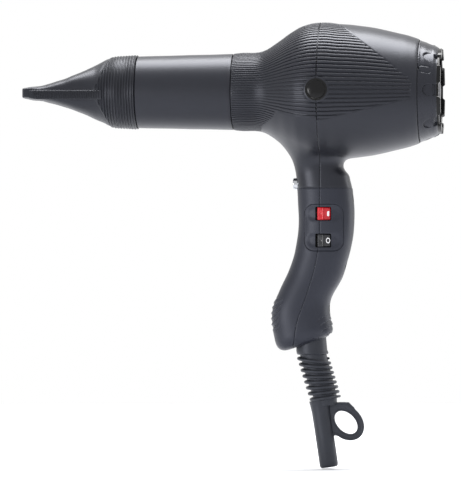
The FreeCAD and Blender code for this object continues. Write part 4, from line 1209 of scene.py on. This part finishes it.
def key_piece(name, row_z, material, mark):
    """A rocker key in its CAD key's box: a raised and rounded left end, a ridge and a sunken right end."""
    low, high = [corner * 1000 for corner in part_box(name)]
    steps, rows = 44, 24
    # The end walls lean a little; the raised end is rounded off to clear its window when the key turns
    lean = 0.1
    left, right = low[0] + 0.05 + lean, high[0] - 0.05
    bottom, top = row_z - KEY_HALF_HEIGHT, row_z + KEY_HALF_HEIGHT
    back = KEY_PIVOT_Y + 1.0
    shares = [i / steps for i in range(steps + 1)]
    face_x = [left + (right - left) * u for u in shares]
    face_y = [low[1] + 0.12 + 2.1 * float(ease(0.12, 1.0, u)) - 0.55 * bump(u, 0.46, 0.04) for u in shares]
    loops = []
    for u, x, y in zip(shares, face_x, face_y):
        ends = 1.5 * roll(u, 0.09) + 0.55 * roll(1 - u, 0.05)
        front = []
        for v in (j / rows for j in range(rows + 1)):
            sides = 0.45 * (roll(v, 0.08) + roll(1 - v, 0.08))
            dimple = 0.75 * bump(u, 0.24, 0.10) * bump(v, 0.5, 0.17)
            front.append((x, y + sides + ends + dimple, bottom + (top - bottom) * v))
        loops.append([*front, (x - lean, back, top), (x - lean, back, bottom)])
    key = make_piece(name + "_key", *tube_mesh(loops), material, smooth=45.0)

    def on_face(dx, dz, lift):
        return MARK_X + dx, float(np.interp(MARK_X + dx, face_x, face_y)) + lift, row_z + dz

    if mark == "bar":
        skin = tube_mesh([[on_face(dx, dz, lift) for dx, dz in BAR_MARK] for lift in (MARK_ROOT, -MARK_PROUD)])
    else:
        outer, inner = RING_MARK
        section = ((outer, MARK_ROOT), (outer, -MARK_PROUD), (inner, -MARK_PROUD), (inner, MARK_ROOT))
        loops = [
            [on_face(r * RING_NARROWING * math.cos(a), r * math.sin(a), lift) for r, lift in section]
            for a in turns(32)
        ]
        skin = tube_mesh(loops, close=True)
    return join_pieces(key, [make_piece(name + "_mark", *skin, FINISHES["print"])])


def badge_piece(name):
    """A round gloss badge with a stepped rim and a flat middle."""
    # Distances out from the badge's face, with radii
    outline = [
        (0.0, 0.01), (0.0, 5.4), (-0.18, 5.75), (-0.18, 6.1), (0.12, 6.4), (0.12, 7.2), (-0.12, 7.55), (-1.7, 7.55),
        (-1.7, 0.01),
    ]
    low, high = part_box(name)
    side = -1 if low.y + high.y < 0 else 1
    face = max(abs(low.y), abs(high.y)) * 1000 - 0.12
    loops = [
        [(radius * math.cos(a), side * (face + out), radius * math.sin(a)) for a in turns(72)]
        for out, radius in outline
    ]
    return make_piece(name + "_disc", *tube_mesh(loops), FINISHES["badge"], smooth=30.0)


def button_piece():
    """The cold-shot button: a chromed cap with a turned rim and a dished face."""
    low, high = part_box("cold_shot_button")
    front, back = low.x * 1000, high.x * 1000
    outline = [
        (front + 0.45, 0.01), (front + 0.42, 1.6), (front + 0.2, 2.9), (front, 3.35), (front + 0.05, 3.8),
        (front + 0.4, 4.12), (front + 0.9, 4.2), (front + 6.7, 4.2), (front + 6.75, 5.0), (front + 6.9, 5.1),
        (front + 8.1, 5.1), (front + 8.2, 5.0), (front + 8.25, 3.0), (back - 0.2, 3.0), (back, 2.8), (back, 0.01),
    ]
    loops = [[(x, u, v) for u, v in circle(r, BUTTON_Z, 72)] for x, r in outline]
    return make_piece("button_cap", *tube_mesh(loops), FINISHES["chromed_button"], smooth=40.0)


# ---------------------------------------------------------------- properties and operators


def length(name, text, value):
    """A length property in metres."""
    return bpy.props.FloatProperty(name=name, description=text, default=value, unit="LENGTH", precision=5)


class HairDryerSizes(bpy.types.PropertyGroup):
    """Sizes and colours of the visible pieces."""

    rib_count: bpy.props.IntProperty(
        name="Ribs round the body", description="How many ribs would go all the way round", default=100,
        min=40, max=160,
    )
    rib_depth: length("Rib depth", "How deep the grooves between the ribs are at the widest point", 0.0009)
    rib_crest: length("Rib crest", "Width of a rib's crest at the widest point", 0.00185)
    rib_base: length("Rib base", "Width of a rib's base at the widest point", 0.00235)
    casing_colour: bpy.props.StringProperty(
        name="Body colour", description="sRGB hex value of the body, barrel and cap", default="#17181d"
    )
    grip_colour: bpy.props.StringProperty(
        name="Grip colour", description="sRGB hex value of the lower handle", default="#1d1f27"
    )
    nozzle_colour: bpy.props.StringProperty(
        name="Nozzle colour", description="sRGB hex value of the nozzle", default="#15161a"
    )
    boot_colour: bpy.props.StringProperty(
        name="Strain relief colour", description="sRGB hex value of the strain relief", default="#222429"
    )
    heat_key_colour: bpy.props.StringProperty(
        name="Heat key colour", description="sRGB hex value of the heat rocker", default="#b3121f"
    )
    camera_turn: bpy.props.FloatProperty(
        name="Camera turn", description="How far the camera stands round to the rear", default=math.radians(6.0),
        subtype="ANGLE",
    )
    camera_distance: length("Camera distance", "From the camera to the air axis's plane", 3.2)


def settled(made, body, slot, *nodes):
    """Rides a finished piece on its body and hides the CAD nodes it stands for. Its slot is not used."""
    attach(made, body)
    if nodes:
        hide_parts(*nodes)


class FinishesOperator(bpy.types.Operator):
    """Makes every finish"""

    bl_idname = "hair_dryer.finishes"
    bl_label = "Finishes"

    def execute(self, context):
        make_finishes(context.scene.hair_dryer)
        return {"FINISHED"}


class ShellsOperator(bpy.types.Operator):
    """Builds the body's two shells and their ribs"""

    bl_idname = "hair_dryer.shells"
    bl_label = "Body shells"

    def execute(self, context):
        sizes = context.scene.hair_dryer
        for shell, name, side in zip(casing_shells(sizes), ("front_shell", "rear_shell"), (1, -1)):
            settled(shell, "casing", "casing", name)
            lines = body_rib_lines(sizes.rib_count, side)
            # The ribs reach a little below the grooves' floor
            height = sizes.rib_depth + 0.0004
            ribs = ribs_along(name + "_ribs", lines, "casing", sizes.rib_crest, sizes.rib_base, height, 0.0003)
            settled(ribs, "casing", "casing")
        return {"FINISHED"}


class HandleOperator(bpy.types.Operator):
    """Builds the lower handle's two halves"""

    bl_idname = "hair_dryer.handle"
    bl_label = "Handle halves"

    def execute(self, context):
        for half, name in zip(grip_halves(), ("front_handle", "rear_handle")):
            settled(half, "casing", "grip", name)
        return {"FINISHED"}


class BarrelOperator(bpy.types.Operator):
    """Builds the barrel"""

    bl_idname = "hair_dryer.barrel"
    bl_label = "Barrel"

    def execute(self, context):
        settled(barrel_piece(), "casing", "barrel", "barrel")
        return {"FINISHED"}


class NozzleOperator(bpy.types.Operator):
    """Builds the concentrator nozzle with its side bars"""

    bl_idname = "hair_dryer.nozzle"
    bl_label = "Nozzle"

    def execute(self, context):
        nozzle = nozzle_piece()
        bars = ribs_along("nozzle_bars", nozzle_bar_lines(), "nozzle", 0.0004, 0.00066, 0.0009, 0.0001)
        settled(bars, "nozzle", "nozzle")
        settled(nozzle, "nozzle", "nozzle", "nozzle")
        return {"FINISHED"}


class CapOperator(bpy.types.Operator):
    """Builds the filter cap and its grille"""

    bl_idname = "hair_dryer.cap"
    bl_label = "Filter cap"

    def execute(self, context):
        rim = cap_piece()
        grille = ribs_along("cap_grille", cap_grille_lines(), "cap", 0.0009, 0.0013, 0.0018, 0.0003)
        outline = [(82.0, 0.01), (81.9, 5.0), (81.5, 7.2), (80.9, 8.0), (79.2, 8.0), (79.2, 0.01)]
        hub = make_piece("cap_hub", *tube_mesh(lathe_loops(outline, 64)), FINISHES["cap"])
        settled(join_pieces(rim, [grille, hub]), "filter_cap", "cap", "filter_cap")
        return {"FINISHED"}


class BootOperator(bpy.types.Operator):
    """Builds the strain relief with its hanging loop"""

    bl_idname = "hair_dryer.boot"
    bl_label = "Strain relief"

    def execute(self, context):
        settled(boot_piece(), "casing", "boot", "strain_relief")
        return {"FINISHED"}


class KeysOperator(bpy.types.Operator):
    """Builds the two rocker keys with their marks"""

    bl_idname = "hair_dryer.keys"
    bl_label = "Rocker keys"

    def execute(self, context):
        for name, row_z, finish_name, mark in (
            ("heat_rocker", KEY_ROWS[0], "rocker_red", "bar"),
            ("speed_rocker", KEY_ROWS[1], "rocker_black", "ring"),
        ):
            settled(key_piece(name, row_z, FINISHES[finish_name], mark), name, finish_name, name)
        return {"FINISHED"}


class SmallPiecesOperator(bpy.types.Operator):
    """Builds the two badges and the cold-shot button"""

    bl_idname = "hair_dryer.small_pieces"
    bl_label = "Badges and button"

    def execute(self, context):
        for name in ("badge_left", "badge_right"):
            settled(badge_piece(name), "casing", "badge", name)
        settled(button_piece(), "cold_shot_button", "chromed_button", "cold_shot_button")
        return {"FINISHED"}


# The CAD nodes that keep their own shape, by finish
KEPT_NODES = {
    "steel_mesh": ("filter_mesh",),
    "heat_resin": ("outlet_guard",),
    "mica": ("barrel_liner", "mica_board_flat", "mica_board_upright"),
    "heating_wire": ("heater_coil_front", "heater_coil_rear"),
    "wire_insulation": ("heater_leads", "mains_leads"),
    "aluminium_small": ("thermal_fuse",),
    "switch_resin": ("thermostat", "heat_switch_body", "speed_switch_body", "cold_shot_switch"),
    "inner_resin": ("fan_duct", "motor_cap", "cable_clamp"),
    "fan_resin": ("fan",),
    "zinc_steel": ("motor_can",),
    "magnet": ("motor_magnets",),
    "steel_small": ("motor_shaft", "cold_shot_spring", "clamp_screws", "handle_screws"),
    "carbon": ("motor_brushes",),
    "bronze": ("front_bearing", "rear_bearing"),
    "laminated_steel": ("armature",),
    "copper": ("commutator",),
    "circuit_board": ("rectifier_board",),
}


class KeptNodesOperator(bpy.types.Operator):
    """Gives the CAD nodes that keep their shape their finishes"""

    bl_idname = "hair_dryer.kept_nodes"
    bl_label = "Inner parts"

    def execute(self, context):
        for finish_name, names in KEPT_NODES.items():
            for slot in (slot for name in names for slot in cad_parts[name].material_slots):
                slot.link = "OBJECT"
                slot.material = FINISHES[finish_name]
        return {"FINISHED"}


# A disc that ends where the overhead light still keeps it white, in metres
FLOOR_RADIUS = 1.35
# Name, place, size, power in watts and the point it is aimed at
LIGHTS = (
    ("overhead", (0.02, 0.22, 1.2), (1.05, 0.75), 34.0, (0.0, 0, 0.08)),
    ("low_fill", (-1.0, -1.1, -0.15), (0.7, 0.7), 15.0, (-0.01, 0, -0.06)),
    ("rear_edge", (0.9, 0.5, 0.3), (0.4, 0.9), 2.5, (0, 0, 0.0)),
)
# The point in the seam's plane that the view is centred on
VIEW_MIDDLE = (-0.0632, 0, -0.004)
LENS = 333.9


class StageOperator(bpy.types.Operator):
    """Sets up the floor, the studio lights and the camera"""

    bl_idname = "hair_dryer.stage"
    bl_label = "Stage"

    def execute(self, context):
        sizes = context.scene.hair_dryer
        floor_mesh = bpy.data.meshes.new("studio_floor")
        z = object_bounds()[0].z - 0.0005
        rim = [(FLOOR_RADIUS * math.cos(a), FLOOR_RADIUS * math.sin(a), z) for a in turns(96)]
        floor_mesh.from_pydata(rim, [], [tuple(range(len(rim)))])
        floor = bpy.data.objects.new("studio_floor", floor_mesh)
        context.scene.collection.objects.link(floor)
        # Painted studio floor: near white and matt with a faint roller stipple
        floor_mesh.materials.append(finish("studio_floor_paint", "#dcdde0", 0.8, 4.0, 0.05, 300.0, 0.01, 0.05))
        floor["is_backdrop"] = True
        world = bpy.data.worlds.new("studio")
        context.scene.world = world
        world.use_nodes = True
        backdrop = world.node_tree.nodes["Background"]
        backdrop.inputs["Color"].default_value = linear("#ffffff")
        backdrop.inputs["Strength"].default_value = 1.0
        context.scene.view_settings.view_transform = "Standard"
        for name, place, size, power, aim in LIGHTS:
            light = bpy.data.lights.new(name, "AREA")
            light.shape, light.size, light.size_y, light.energy = "RECTANGLE", *size, power
            lamp = bpy.data.objects.new(name, light)
            lamp.location = place
            lamp.rotation_euler = (Vector(aim) - Vector(place)).to_track_quat("-Z", "Y").to_euler()
            context.scene.collection.objects.link(lamp)
        turn = sizes.camera_turn
        toward = Vector((-math.sin(turn), math.cos(turn), 0))
        right = Vector((math.cos(turn), math.sin(turn), 0))
        camera = bpy.data.cameras.new("camera")
        camera.sensor_width = 36.0
        camera.lens = LENS
        camera.clip_end = 20
        eye = bpy.data.objects.new("camera", camera)
        eye.location = Vector(VIEW_MIDDLE) - toward * sizes.camera_distance
        eye.rotation_euler = Matrix((right, Vector((0, 0, 1)), -toward)).transposed().to_euler()
        context.scene.collection.objects.link(eye)
        context.scene.camera = eye
        return {"FINISHED"}


class HairDryerPanel(bpy.types.Panel):
    """Lists the sizes and the pieces' operators"""

    bl_idname = "VIEW3D_PT_hair_dryer"
    bl_label = "Hair dryer"
    bl_space_type = "VIEW_3D"
    bl_region_type = "UI"
    bl_category = "Hair dryer"

    def draw(self, context):
        for name in HairDryerSizes.__annotations__:
            self.layout.prop(context.scene.hair_dryer, name)
        for operator in OPERATORS:
            self.layout.operator(operator.bl_idname)


OPERATORS = (
    FinishesOperator,
    ShellsOperator,
    HandleOperator,
    BarrelOperator,
    NozzleOperator,
    CapOperator,
    BootOperator,
    KeysOperator,
    SmallPiecesOperator,
    KeptNodesOperator,
    StageOperator,
)


def register():
    for item in (HairDryerSizes, *OPERATORS, HairDryerPanel):
        bpy.utils.register_class(item)
    bpy.types.Scene.hair_dryer = bpy.props.PointerProperty(type=HairDryerSizes)


def unregister():
    del bpy.types.Scene.hair_dryer
    for item in reversed((HairDryerSizes, *OPERATORS, HairDryerPanel)):
        bpy.utils.unregister_class(item)


def main():
    register()
    for operator in OPERATORS:
        group, name = operator.bl_idname.split(".")
        getattr(getattr(bpy.ops, group), name)()


if __name__ == "__main__":
    main()
